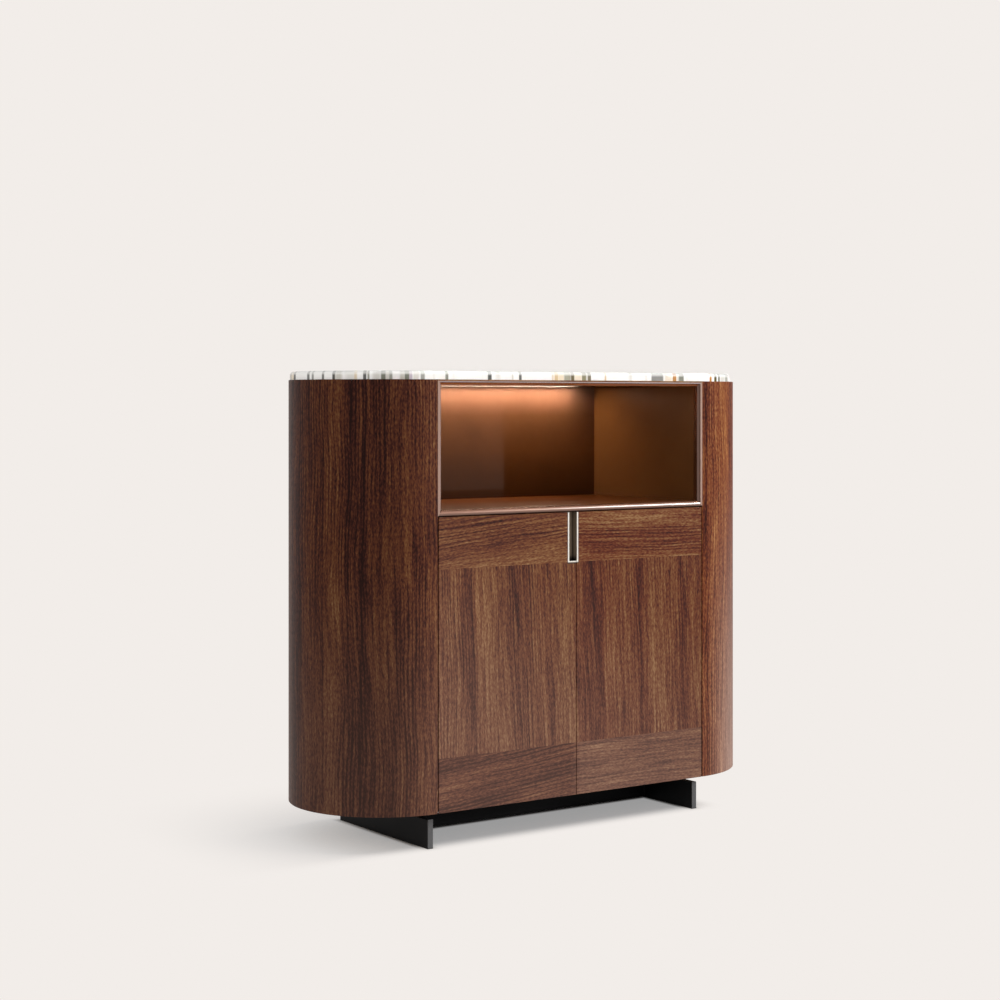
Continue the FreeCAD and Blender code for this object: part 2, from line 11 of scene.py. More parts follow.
import bmesh
import bpy
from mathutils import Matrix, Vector


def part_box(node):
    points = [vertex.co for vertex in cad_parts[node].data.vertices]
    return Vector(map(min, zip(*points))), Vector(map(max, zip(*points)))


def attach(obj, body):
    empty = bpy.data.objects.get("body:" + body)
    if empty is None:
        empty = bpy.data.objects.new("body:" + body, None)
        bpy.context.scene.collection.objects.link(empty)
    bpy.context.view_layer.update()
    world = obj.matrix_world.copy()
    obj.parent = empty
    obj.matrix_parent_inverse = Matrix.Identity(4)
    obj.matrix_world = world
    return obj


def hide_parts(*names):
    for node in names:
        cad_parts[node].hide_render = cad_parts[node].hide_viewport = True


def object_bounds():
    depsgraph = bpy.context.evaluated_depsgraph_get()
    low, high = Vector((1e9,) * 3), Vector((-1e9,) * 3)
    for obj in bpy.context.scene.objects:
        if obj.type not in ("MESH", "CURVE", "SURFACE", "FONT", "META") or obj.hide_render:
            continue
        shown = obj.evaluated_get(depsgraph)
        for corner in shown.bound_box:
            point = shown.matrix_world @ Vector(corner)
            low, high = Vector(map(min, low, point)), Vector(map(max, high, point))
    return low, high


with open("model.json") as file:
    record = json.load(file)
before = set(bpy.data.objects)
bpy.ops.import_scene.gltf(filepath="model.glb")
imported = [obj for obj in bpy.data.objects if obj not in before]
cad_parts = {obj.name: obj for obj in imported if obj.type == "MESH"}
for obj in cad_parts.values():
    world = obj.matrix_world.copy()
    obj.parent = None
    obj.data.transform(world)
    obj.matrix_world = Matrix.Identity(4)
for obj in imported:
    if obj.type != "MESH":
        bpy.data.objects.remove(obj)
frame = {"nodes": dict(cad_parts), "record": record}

for spare in ("Cube", "Camera", "Light"):
    if spare in bpy.data.objects:
        bpy.data.objects.remove(bpy.data.objects[spare])

scene = bpy.context.scene
cad_low, cad_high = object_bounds()
nodes = frame["nodes"]
print("frame:", len(nodes), "nodes, box", [round(v, 4) for v in cad_high - cad_low])

# %% [markdown]
# The camera comes next, because every later choice is judged through it. The photograph has upright
# verticals: the camera was held level and its lens was shifted down. So the camera here is level too, and
# the framing comes from the shift, not from a tilt.

# %% The camera
CAMERA_PLACE = (-2.93891, -4.08870, 1.03643)
CAMERA_TURN = math.radians(-35.1145)
CAMERA_LENS = 72.256
CAMERA_SHIFT = -0.0991

camera_data = bpy.data.cameras.new("photo_camera")
camera_data.sensor_width = 36.0
camera_data.lens = CAMERA_LENS
camera_data.shift_y = CAMERA_SHIFT
camera_data.clip_end = 200.0
camera = bpy.data.objects.new("photo_camera", camera_data)
camera.location = CAMERA_PLACE
camera.rotation_euler = (math.radians(90.0), 0.0, CAMERA_TURN)
scene.collection.objects.link(camera)
scene.camera = camera
scene.view_settings.view_transform = "Standard"
print("camera:", camera_data.lens, "mm lens,", round(camera.location.length, 2), "m from the origin")

# %% [markdown]
# Materials are small graphs of nodes. These few helpers keep the graphs short to write: one adds a node
# and fills its sockets, a few do arithmetic, one mixes colours and one makes a colour ramp. Colours are
# written as the 0 to 255 numbers of a colour picker, and turned into the linear light that shaders use.

# %% Helpers for node graphs
def tint(red, green, blue):
    """A colour picker's colour as linear light."""
    def linear(level):
        share = level / 255.0
        return share / 12.92 if share <= 0.04045 else ((share + 0.055) / 1.055) ** 2.4
    return (linear(red), linear(green), linear(blue), 1.0)


def fill(tree, socket, value):
    """Puts a plain value or a link into a socket."""
    if isinstance(value, bpy.types.NodeSocket):
        tree.links.new(value, socket)
    else:
        socket.default_value = value


def add(tree, kind, inputs=None, **settings):
    """A node of one kind, with its settings and its filled sockets."""
    node = tree.nodes.new("ShaderNode" + kind)
    for key, value in settings.items():
        setattr(node, key, value)
    for key, value in (inputs or {}).items():
        fill(tree, node.inputs[key], value)
    return node


def calc(tree, operation, *terms, clamp=False):
    """Arithmetic on sockets and numbers."""
    return add(tree, "Math", dict(enumerate(terms)), operation=operation, use_clamp=clamp).outputs[0]


def chained(tree, operation, terms):
    """One operation over several sockets and numbers, from the left."""
    result = terms[0]
    for term in terms[1:]:
        result = calc(tree, operation, result, term)
    return result


def total(tree, *terms):
    """Sum of several sockets and numbers."""
    return chained(tree, "ADD", terms)


def prod(tree, *terms):
    """Product of several sockets and numbers."""
    return chained(tree, "MULTIPLY", terms)


def diff(tree, first, second):
    """Difference of two sockets or numbers."""
    return calc(tree, "SUBTRACT", first, second)


def line(tree, source, slope, start):
    """A straight line: source times slope plus start."""
    return calc(tree, "MULTIPLY_ADD", source, slope, start)


def swing(tree, source, amount):
    """A random source turned into an amount about zero."""
    return prod(tree, diff(tree, source, 0.5), amount)


def step(tree, source, start, end):
    """0 before start, 1 after end and a smooth rise between them; start may be above end."""
    return add(tree, "MapRange", {"Value": source, "From Min": start, "From Max": end},
               interpolation_type="SMOOTHSTEP").outputs[0]


def mixed(tree, share, first, second, blend_type="MIX"):
    """Two colours mixed by a share."""
    node = add(tree, "Mix", data_type="RGBA", blend_type=blend_type)
    for index, value in ((0, share), (6, first), (7, second)):
        fill(tree, node.inputs[index], value)
    return node.outputs[2]


def ramp(tree, factor, stops):
    """A colour ramp; a stop is a place and either a colour or a grey level."""
    node = add(tree, "ValToRGB", {"Fac": factor})
    elements = node.color_ramp.elements
    while len(elements) < len(stops):
        elements.new(0.5)
    for element, (at, colour) in zip(elements, stops):
        element.position = at
        element.color = colour if isinstance(colour, tuple) else (colour, colour, colour, 1.0)
    return node.outputs["Color"]


print("helpers: a mid grey of 128 is", round(tint(128, 128, 128)[0], 3), "in linear light")

# %% [markdown]
# Seven more helpers are about surfaces. Two give soft noise, plain or stretched along the grain of wood.
# Two read the place on a piece. The last three start a new finish, fill its sockets and raise a fine relief.

# %% Helpers for surfaces
def noise(tree, vector, scale=1.0, detail=2.0, roughness=0.5):
    """Soft random values about a half."""
    return add(tree, "TexNoise", {"Vector": vector, "Scale": scale, "Detail": detail,
                                  "Roughness": roughness}).outputs["Fac"]


def grain(tree, across, along, per_across, per_along, seed, detail=2.0, roughness=0.5):
    """Noise that is scaled apart along and across the grain of wood."""
    spot = add(tree, "CombineXYZ", {"X": prod(tree, across, per_across), "Y": prod(tree, along, per_along),
                                    "Z": seed})
    return noise(tree, spot.outputs[0], detail=detail, roughness=roughness)


def location(tree):
    """The object's own coordinates, as one vector."""
    return add(tree, "TexCoord").outputs["Object"]


def place(tree):
    """The X, Y and Z of the location, in metres."""
    return add(tree, "SeparateXYZ", {0: location(tree)}).outputs


def finish(name):
    """A new material with its tree and its shader."""
    material = bpy.data.materials.new(name)
    material.use_nodes = True
    return material, material.node_tree, material.node_tree.nodes["Principled BSDF"]


def dress(tree, shader, inputs):
    """Fills the named sockets of a shader."""
    for key, value in inputs.items():
        fill(tree, shader.inputs[key], value)


def relief(tree, shader, height, strength, distance):
    """Fine relief on the surface, from a height."""
    bump = add(tree, "Bump", {"Height": height, "Strength": strength, "Distance": distance})
    tree.links.new(bump.outputs["Normal"], shader.inputs["Normal"])


SURFACE_HELPERS = (noise, grain, location, place, finish, dress, relief)
print("surfaces:", ", ".join(helper.__name__ for helper in SURFACE_HELPERS))

# %% [markdown]
# The stage starts with the world round the object. It gives a dim even light, but the camera and mirrors
# see a pale backdrop in it.

# %% Backdrop
BACKDROP = tint(242, 237, 233)
AIR_LIGHT = (1.0, 1.0, 1.0, 1.0)
AMBIENT_LEVEL = 0.28


def seen_share(tree):
    """1 for rays from the camera, from mirrors and through glass."""
    path = add(tree, "LightPath").outputs
    kinds = ("Is Camera Ray", "Is Glossy Ray", "Is Transmission Ray")
    return chained(tree, "MAXIMUM", [path[kind] for kind in kinds])


world = bpy.data.worlds.new("studio_air")
scene.world = world
world.use_nodes = True
air = world.node_tree
air_light = add(air, "Background", {"Color": AIR_LIGHT, "Strength": AMBIENT_LEVEL})
air_seen = add(air, "Background", {"Color": BACKDROP, "Strength": 1.0})
air_mix = add(air, "MixShader", {0: seen_share(air), 1: air_light.outputs[0], 2: air_seen.outputs[0]})
air.links.new(air_mix.outputs[0], air.nodes["World Output"].inputs["Surface"])
print("backdrop: even light of", AMBIENT_LEVEL)

# %% [markdown]
# The floor is pale too and melts into the backdrop. Near the object it is matt paint that takes a soft
# shadow, with a little glow of its own so that the shadow stays light. Further out it turns into the
# colour of the backdrop, so that no horizon shows. The patch that keeps the shadow reaches furthest to
# the left and to the back, where the shadow falls. Where the base touches the floor the glow stops, so a
# dark line of contact stays.

# %% Floor
FLOOR_REACH = 30.0
FLOOR_PAINT = (0.95, 0.95, 0.95, 1.0)
FLOOR_GLOW = (0.304, 0.304, 0.304, 1.0)
CONTACT_REACH = 0.020
SHADOW_X = {"left": (-0.95, -0.35), "right": (0.50, 0.40)}
SHADOW_Y = {"front": (-0.235, -0.14), "back": (0.75, 0.0)}


def outside(tree, along, low, high):
    """How far a place lies outside a stretch; negative inside it."""
    middle, half = 0.5 * (low + high), 0.5 * (high - low)
    return diff(tree, calc(tree, "ABSOLUTE", diff(tree, along, middle)), half)


floor_material, tree, shader = finish("pale_floor")
dress(tree, shader, {"Base Color": FLOOR_PAINT, "Roughness": 1.0, "Specular IOR Level": 0.0})
floor_x, floor_y = place(tree)[:2]
patch_x = prod(tree, step(tree, floor_x, *SHADOW_X["left"]), step(tree, floor_x, *SHADOW_X["right"]))
patch_y = prod(tree, step(tree, floor_y, *SHADOW_Y["front"]), step(tree, floor_y, *SHADOW_Y["back"]))
contact = 1.0
for foot in ("left_base_pad", "right_base_pad", "base_spine"):
    low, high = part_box(foot)
    apart_x, apart_y = outside(tree, floor_x, low.x, high.x), outside(tree, floor_y, low.y, high.y)
    apart = calc(tree, "MAXIMUM", apart_x, apart_y)
    contact = calc(tree, "MINIMUM", contact, step(tree, apart, 0.0, CONTACT_REACH))
seen = seen_share(tree)
near_glow = add(tree, "Emission", {"Color": FLOOR_GLOW, "Strength": prod(tree, seen, contact)})
near_floor = add(tree, "AddShader", {0: shader.outputs[0], 1: near_glow.outputs[0]})
far_glow = add(tree, "Emission", {"Color": BACKDROP, "Strength": 1.0})
patch = prod(tree, patch_x, patch_y)
far_share = prod(tree, diff(tree, 1.0, patch), seen)
floor_mix = add(tree, "MixShader", {0: far_share, 1: near_floor.outputs[0], 2: far_glow.outputs[0]})
tree.links.new(floor_mix.outputs[0], tree.nodes["Material Output"].inputs["Surface"])

floor_grid = bmesh.new()
bmesh.ops.create_grid(floor_grid, x_segments=1, y_segments=1, size=FLOOR_REACH)
floor_mesh = bpy.data.meshes.new("pale_floor")
floor_grid.to_mesh(floor_mesh)
floor_grid.free()
floor = bpy.data.objects.new("pale_floor", floor_mesh)
floor_mesh.materials.append(floor_material)
scene.collection.objects.link(floor)
print("floor:", 2 * FLOOR_REACH, "m wide, shadow kept from x", SHADOW_X["left"][0],
      "to", SHADOW_X["right"][0])

# %% [markdown]
# Four soft lamps do the rest. Sun lamps are used for all, because they light everything evenly. The side
# lamp is low and far to the right. It models the rounded ends: the right one catches it and the left one
# turns away from it. The high lamp is very wide and comes from the upper left, to keep that side
# readable. Both skip the floor. The floor has a lamp of its own, so that only one soft shadow falls, to
# the left. A low lamp from the left is for the stone alone. It keeps the edge of the slab white on the
# side away from the light, and because the high lamp skips the slab, the white of its top face doesn't
# burn out.

# %% Lamps
WHITE_LIGHT = (1.0, 1.0, 1.0)
SUNNY_LIGHT = (1.0, 0.874, 0.773)
slab = nodes["marble_top"]
LAMPS = {
    "high_lamp": {"towards": (-0.35, -0.25, 0.90), "strength": 1.2, "spread": 80.0,
                  "colour": WHITE_LIGHT, "link": ("EXCLUDE", [floor, slab])},
    "side_lamp": {"towards": (0.84, -0.46, 0.28), "strength": 4.0, "spread": 22.0,
                  "colour": WHITE_LIGHT, "link": ("EXCLUDE", [floor])},
    "floor_lamp": {"towards": (0.54, -0.18, 0.82), "strength": 1.25, "spread": 44.0,
                   "colour": SUNNY_LIGHT, "link": ("INCLUDE", [floor])},
    "stone_lamp": {"towards": (-0.86, -0.42, 0.38), "strength": 1.48, "spread": 60.0,
                   "colour": WHITE_LIGHT, "link": ("INCLUDE", [slab])},
}
for lamp_name, lamp in LAMPS.items():
    lamp_data = bpy.data.lights.new(lamp_name, "SUN")
    lamp_data.energy = lamp["strength"]
    lamp_data.angle = math.radians(lamp["spread"])
    lamp_data.color = lamp["colour"]
    lamp_object = bpy.data.objects.new(lamp_name, lamp_data)
    lamp_object.rotation_euler = Vector(lamp["towards"]).to_track_quat("Z", "Y").to_euler()
    receivers = bpy.data.collections.new(lamp_name + "_receivers")
    link_state, members = lamp["link"]
    for index, member in enumerate(members):
        receivers.objects.link(member)
        receivers.collection_objects[index].light_linking.link_state = link_state
    lamp_object.light_linking.receiver_collection = receivers
    scene.collection.objects.link(lamp_object)
print("lamps:", ", ".join(LAMPS))

# %% [markdown]
# Walnut veneer is a thin leaf sliced from a log. It shows figure at several scales: broad stripes of
# light and dark wood, growth lines about 9 mm apart that sway along the leaf, finer streaks, and short
# open pores. The growth lines are a sine wave across the grain. Everything else is noise that is
# stretched along the grain. One tone gathers them all, and a ramp turns the tone into colour: wine brown
# in the dark, gold in the light. A last noise lets the hue drift between the two, because no log has the
# same colour from ring to ring.

# %% Walnut figure
WALNUT_TONES = [(0.0, tint(38, 18, 15)), (0.22, tint(68, 34, 27)), (0.45, tint(97, 55, 35)),
                (0.66, tint(118, 78, 48)), (1.0, tint(154, 118, 80))]
RING_PITCH = 0.0088
PAINTED_LIGHT_TONES = [(0.1, tint(132, 106, 95)), (0.5, tint(152, 127, 115)), (0.9, tint(176, 152, 141))]
RED_WOOD = (1.0, 0.66, 0.56, 1.0)
HUE_SWING = 0.45
NO_LIGHT_TINT = (1.0, 1.0, 1.0, 1.0)


def walnut(tree, shader, across, along, stripes, sway, seed, pale=0.0, red=0.0, gloss=0.06, light_tint=NO_LIGHT_TINT):
    """Colours a veneer; stripes is its broad tone and sway how far lines wander.

    Pale mixes in paler tones as painted light, red tints the darks and light_tint colours all, as painted
    light where it isn't white.
    """
    drift = grain(tree, across, along, 4.5, 1.9, seed)
    wavy = total(tree, across, swing(tree, drift, sway))
    jitter = grain(tree, wavy, along, 42.0, 1.6, seed + 2.3, detail=1.0)
    phase = line(tree, wavy, 2 * math.pi / RING_PITCH, prod(tree, jitter, 11.0))
    ring = calc(tree, "POWER", line(tree, calc(tree, "SINE", phase), 0.5, 0.5), 2.5)
    ring_place = grain(tree, wavy, along, 13.0, 1.5, seed + 4.1, detail=1.0)
    rings = prod(tree, ring, step(tree, ring_place, 0.36, 0.62))
    lines = grain(tree, wavy, along, 165.0, 6.0, seed + 1.7, detail=3.0, roughness=0.65)
    streaks = grain(tree, wavy, along, 48.0, 1.3, seed + 3.1)
    speckle = grain(tree, wavy, along, 360.0, 120.0, seed + 5.3, detail=1.0)
    pores = ramp(tree, grain(tree, wavy, along, 900.0, 60.0, seed + 8.9, detail=1.0),
                 [(0.32, 1.0), (0.42, 0.0)])
    tone = total(tree, stripes, swing(tree, lines, 1.10), swing(tree, streaks, 0.42),
                 swing(tree, speckle, 0.80), prod(tree, rings, -0.27), prod(tree, pores, -0.20))
    hue = grain(tree, wavy, along, 30.0, 0.9, seed + 6.7, detail=1.0)
    redness = line(tree, step(tree, tone, 0.80, 0.25), red, swing(tree, hue, HUE_SWING))
    wood = mixed(tree, redness, ramp(tree, tone, WALNUT_TONES), RED_WOOD, "MULTIPLY")
    # Painted light: light_tint brightens all the colour, and pale mixes in paler tones.
    wood = mixed(tree, 1.0, wood, light_tint, "MULTIPLY")
    colour = mixed(tree, pale, wood, ramp(tree, tone, PAINTED_LIGHT_TONES))
    dress(tree, shader, {"Base Color": colour, "Specular IOR Level": gloss,
                         "Roughness": line(tree, pores, 0.15, 0.42)})
    relief(tree, shader, line(tree, pores, -0.6, lines), 0.25, 0.0004)


print("walnut:", len(WALNUT_TONES), "tones, growth lines", RING_PITCH * 1000, "mm apart")

# %% [markdown]
# Some marks of the leaves are single dark strokes, where a growth line was cut flat. A stroke runs from
# one place to another and fades at both ends. It lowers the broad tone, so the finer figure still runs
# through it.

# %% Dark strokes in a leaf
STROKE_FADE = 0.06


def stroked(tree, tone, across, height, strokes):
    """Lowers a tone by strokes: across and height at the top, the same at the bottom, half width, depth."""
    for top, top_height, bottom, bottom_height, half_width, depth in strokes:
        slope = (bottom - top) / (bottom_height - top_height)
        middle = line(tree, height, slope, top - slope * top_height)
        aside = calc(tree, "ABSOLUTE", diff(tree, across, middle))
        ends = prod(tree, step(tree, height, top_height + STROKE_FADE, top_height),
                    step(tree, height, bottom_height - STROKE_FADE, bottom_height))
        share = prod(tree, step(tree, aside, half_width, 0.2 * half_width), ends)
        tone = line(tree, share, -depth, tone)
    return tone


print("strokes: they fade over", STROKE_FADE * 1000, "mm")

# %% [markdown]
# The doors are veneered like a framed panel: a lying band at the top and at the bottom, and upright
# leaves between them. There is no groove, only a change of grain. Two tables give the figure of the
# upright leaves. One lists the stripes as places along X with their tones, and the other lists single
# dark strokes.

# %% Leaves of the doors
door_low, door_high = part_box("left_door_panel")
BAND_TOP = door_high.z - 0.120
BAND_BOTTOM = door_low.z + 0.126
FRONT_HALF = 0.4
DOOR_STROKES = [(-0.194, 0.647, -0.168, 0.504, 0.010, 0.16), (-0.322, 0.653, -0.294, 0.199, 0.011, 0.12),
                (0.041, 0.650, 0.078, 0.332, 0.014, 0.18), (0.330, 0.632, 0.346, 0.506, 0.010, 0.14),
                (-0.085, 0.642, -0.058, 0.463, 0.009, 0.12), (0.197, 0.643, 0.207, 0.321, 0.010, 0.14)]
DOOR_STRIPES = [(-0.400, 0.54), (-0.345, 0.55), (-0.326, 0.42), (-0.312, 0.38), (-0.296, 0.42),
                (-0.284, 0.58), (-0.245, 0.57), (-0.205, 0.51), (-0.190, 0.42), (-0.166, 0.44),
                (-0.130, 0.51), (-0.095, 0.55), (-0.080, 0.44), (-0.064, 0.46), (-0.048, 0.60),
                (-0.002, 0.62), (0.002, 0.54), (0.034, 0.39), (0.056, 0.32), (0.080, 0.38), (0.093, 0.58),
                (0.130, 0.56), (0.136, 0.52), (0.188, 0.53), (0.200, 0.40), (0.220, 0.42), (0.234, 0.58),
                (0.280, 0.56), (0.322, 0.50), (0.338, 0.42), (0.362, 0.47), (0.400, 0.52)]
print("door leaves:", len(DOOR_STRIPES), "stops,", len(DOOR_STROKES), "strokes, bands above",
      round(BAND_TOP, 3), "and below", round(BAND_BOTTOM, 3))

# %% [markdown]
# Now the finish itself. The stripes of the leaves lean a little. The bands swap the roles of X and Z, and
# their lines climb to the right on the left door. On the edges of a door the depth takes over from X or
# Z, so that the lines run along the edge. Near the floor the wood is painted a little paler, as painted
# light that grows towards the floor, and the right door is redder. Round the handle the veneer is painted
# darker in a fine line, as painted shadow in the gap round its pocket.

# %% Door veneer
LEAF_LEAN = 0.035
LEAN_HEIGHT = 0.45
BAND_CLIMB = {"left": 0.10, "right": -0.02}
BAND_LEVEL = {"head": 0.32, "left_foot": 0.09, "right_foot": 0.23}
BAND_SWING = 0.5
SEAM_BLUR = 0.02
PAINTED_LOW_LIGHT = {"foot": 0.22, "right_foot": 0.10}
DOOR_RED = {"all": 0.15, "right": 0.45, "right_foot": -0.60, "right_head": 0.40}
HANDLE_SHADOW_WIDTH = 0.0015
HANDLE_SHADOW_DEPTH = 0.45
handle_low, strip_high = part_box("handle_channel")[0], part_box("handle_edge_strip")[1]

door_veneer, tree, shader = finish("door_veneer")
x, y, z = place(tree)
upper_band = calc(tree, "GREATER_THAN", z, BAND_TOP)
lower_band = calc(tree, "LESS_THAN", z, BAND_BOTTOM)
in_band = calc(tree, "MAXIMUM", upper_band, lower_band)
upright = diff(tree, 1.0, in_band)
leaf_x = line(tree, diff(tree, z, LEAN_HEIGHT), LEAF_LEAN, x)
band_z = total(tree, z, prod(tree, calc(tree, "MINIMUM", x, 0.0), -BAND_CLIMB["left"]),
               prod(tree, calc(tree, "MAXIMUM", x, 0.0), -BAND_CLIMB["right"]))
depth = diff(tree, y, door_low.y)
across = total(tree, prod(tree, leaf_x, upright), prod(tree, band_z, in_band), depth)
along = total(tree, prod(tree, z, upright), prod(tree, x, in_band))
leaf_place = line(tree, leaf_x, 0.5 / FRONT_HALF, 0.5)
leaf_tone = ramp(tree, leaf_place, [(0.5 + 0.5 * at / FRONT_HALF, grey) for at, grey in DOOR_STRIPES])
leaf_wave = swing(tree, grain(tree, x, z, 12.0, 5.0, 6.0), 0.014)
leaf_tone = stroked(tree, leaf_tone, total(tree, x, leaf_wave), z, DOOR_STROKES)
band_wave = grain(tree, band_z, x, 22.0, 1.6, 4.0)
right_share = step(tree, x, -SEAM_BLUR, SEAM_BLUR)
lower_level = line(tree, right_share, BAND_LEVEL["right_foot"] - BAND_LEVEL["left_foot"],
                   BAND_LEVEL["left_foot"])
band_level = calc(tree, "MAXIMUM", lower_level, prod(tree, upper_band, BAND_LEVEL["head"]))
band_tone = line(tree, band_wave, BAND_SWING, band_level)
stripes = total(tree, prod(tree, leaf_tone, upright), prod(tree, band_tone, in_band))
# Painted light: the veneer is painted paler towards the floor, and a little more on the right door's foot.
painted_light_share = prod(tree, step(tree, line(tree, x, 0.4, z), 0.75, 0.05), PAINTED_LOW_LIGHT["foot"])
right_foot = prod(tree, right_share, lower_band)
right_head = prod(tree, right_share, upper_band)
painted_light_share = line(tree, right_foot, PAINTED_LOW_LIGHT["right_foot"], painted_light_share)
red = total(tree, DOOR_RED["all"], prod(tree, right_share, DOOR_RED["right"]),
            prod(tree, right_foot, DOOR_RED["right_foot"]), prod(tree, right_head, DOOR_RED["right_head"]))
# Painted shadow: a fine dark line in the veneer round the handle's pocket, where the gap lies in shade.
beside_handle = prod(tree, calc(tree, "GREATER_THAN", x, handle_low.x - HANDLE_SHADOW_WIDTH),
                     calc(tree, "LESS_THAN", x, strip_high.x + 0.5 * HANDLE_SHADOW_WIDTH))
in_handle_shadow = prod(tree, beside_handle, calc(tree, "GREATER_THAN", z, handle_low.z - HANDLE_SHADOW_WIDTH))
stripes = line(tree, in_handle_shadow, -HANDLE_SHADOW_DEPTH, stripes)
walnut(tree, shader, across, along, stripes, sway=0.045, seed=2.0, pale=painted_light_share, red=red)
print("door veneer:", len(tree.nodes), "nodes, joint of", HANDLE_SHADOW_WIDTH * 1000, "mm round the handle")

# %% [markdown]
# The rounded ends are veneered with upright leaves that run round the bend. The pattern has to follow the
# surface, so the place across the grain is the length of arc from the front joint. It comes from the
# angle about the end's own centre, which an arctangent gives. Both ends are painted paler low down, as
# painted light. The left end turns away from the side lamp, and its stripe tones are set lower, as painted
# shade. The right end faces that lamp: all its colour is painted brighter and more amber, as painted light,
# and at its side it is painted paler still, most of all low down, as a painted sheen on its grazing edge.

# %% Veneer of the rounded ends
END_RADIUS = 0.5 * (cad_high.y - cad_low.y)
END_ARC = math.pi * END_RADIUS
SHEEN_ARC = 0.125
SHEEN_HEIGHT = 0.95
LOW_LIGHT_HEIGHTS = (0.75, 0.10)
# Painted light: the right end's whole colour is multiplied by this, brighter and more amber.
PAINTED_LIGHT_TINT = (1.36, 1.24, 1.02, 1.0)


def end_veneer(name, arc_stripes, strokes, seed, pale, painted_sheen, red, gloss, light_tint):
    """Veneer of one end; stripes and strokes lie along the arc, pale and painted_sheen pale it as painted
    light.
    """
    material, tree, shader = finish(name)
    x, y, z = place(tree)
    off_centre = diff(tree, calc(tree, "ABSOLUTE", x), FRONT_HALF)
    angle = calc(tree, "ARCTAN2", y, off_centre)
    arc = prod(tree, total(tree, angle, math.pi / 2), END_RADIUS)
    stops = [(at / END_ARC, grey) for at, grey in arc_stripes]
    wave = swing(tree, grain(tree, arc, z, 9.0, 3.0, seed + 0.5), 0.02)
    stripes = ramp(tree, calc(tree, "DIVIDE", arc, END_ARC), stops)
    stripes = stroked(tree, stripes, total(tree, arc, wave), z, strokes)
    # Painted light: paler towards the floor, by the share pale.
    painted_light_share = prod(tree, step(tree, z, *LOW_LIGHT_HEIGHTS), pale)
    # Painted sheen: paler at the end's side, most of all low down, where its edge grazes the light.
    sheen_in = calc(tree, "DIVIDE", arc, SHEEN_ARC, clamp=True)
    sheen_out = step(tree, arc, 0.5 * END_ARC, 0.6 * SHEEN_ARC + 0.2 * END_ARC)
    side_sheen = prod(tree, sheen_in, sheen_out, step(tree, z, SHEEN_HEIGHT, 0.0))
    painted_light_share = calc(tree, "MAXIMUM", painted_light_share, prod(tree, side_sheen, painted_sheen))
    walnut(tree, shader, arc, z, stripes, 0.060, seed, pale=painted_light_share, red=red, gloss=gloss, light_tint=light_tint)
    return material


# The left end's stripe tones lie lower than the right's, as painted shade on the end that turns from the
# light.
LEFT_STRIPES = [(0.0, 0.41), (0.10, 0.41), (0.125, 0.36), (0.165, 0.33), (0.176, 0.27), (0.19, 0.32),
                (0.215, 0.32), (0.229, 0.33), (0.233, 0.46), (0.25, 0.48), (0.28, 0.45), (0.286, 0.36),
                (0.294, 0.40), (0.34, 0.37), (0.375, 0.28), (0.44, 0.27), (0.458, 0.38), (0.464, 0.30),
                (0.60, 0.42), (0.72, 0.38)]
RIGHT_STRIPES = [(0.0, 0.42), (0.02, 0.45), (0.03, 0.53), (0.07, 0.57), (0.082, 0.54), (0.105, 0.52),
                 (0.13, 0.34), (0.19, 0.26), (0.229, 0.46), (0.233, 0.62), (0.30, 0.54), (0.40, 0.44),
                 (0.458, 0.34), (0.464, 0.52), (0.60, 0.44), (0.72, 0.48)]
LEFT_STROKES = [(0.172, 1.08, 0.188, 0.12, 0.005, 0.18), (0.206, 1.08, 0.216, 0.30, 0.004, 0.12),
                (0.278, 1.08, 0.284, 0.12, 0.004, 0.16), (0.122, 1.08, 0.150, 0.62, 0.010, 0.08)]
RIGHT_STROKES = [(0.012, 1.08, 0.018, 0.12, 0.008, 0.14), (0.30, 1.06, 0.31, 0.30, 0.008, 0.14),
                 (0.52, 1.06, 0.51, 0.20, 0.010, 0.14)]
left_end_veneer = end_veneer("left_end_veneer", LEFT_STRIPES, LEFT_STROKES, seed=11.0, pale=0.17, painted_sheen=0.0,
                             red=-0.22, gloss=0.06, light_tint=NO_LIGHT_TINT)
right_end_veneer = end_veneer("right_end_veneer", RIGHT_STRIPES, RIGHT_STROKES, seed=17.0, pale=0.12,
                              painted_sheen=0.90, red=0.50, gloss=0.02, light_tint=PAINTED_LIGHT_TINT)
print("rounded ends:", round(END_ARC, 3), "m of veneer round each bend")

# %% [markdown]
# The back and the inner boards carry plainer walnut, cut straight, so one gentle noise is stripe enough.
# Lying boards have their grain along X, and upright ones along Z.

# %% Plain walnut for the back and the boards
def plain_walnut(name, level, along_axis, seed):
    """Straight-cut walnut of one level of tone, with its grain along an axis."""
    material, tree, shader = finish(name)
    spots = place(tree)
    across_axis = 0 if along_axis == 2 else 2
    across = total(tree, spots[across_axis], spots[1])
    stripe = grain(tree, across, spots[along_axis], 12.0, 0.8, seed)
    stripes = line(tree, stripe, 0.6, level - 0.3)
    walnut(tree, shader, across, spots[along_axis], stripes, 0.04, seed)
    return material


back_veneer = plain_walnut("back_veneer", 0.50, 2, 23.0)
board_foil = plain_walnut("board_foil", 0.42, 0, 29.0)
upright_foil = plain_walnut("upright_foil", 0.42, 2, 31.0)
lipping_foil = plain_walnut("lipping_foil", 0.64, 0, 37.0)
print("plain walnut:", back_veneer.name, board_foil.name, upright_foil.name, lipping_foil.name)

# %% [markdown]
# The top is a slab of banded stone. The beds are layers that cross the slab at a slant. A table lists
# them from the left end to the right, in millimetres: where a bed starts and ends, how soft its edges
# are, its colour and how dense it is.

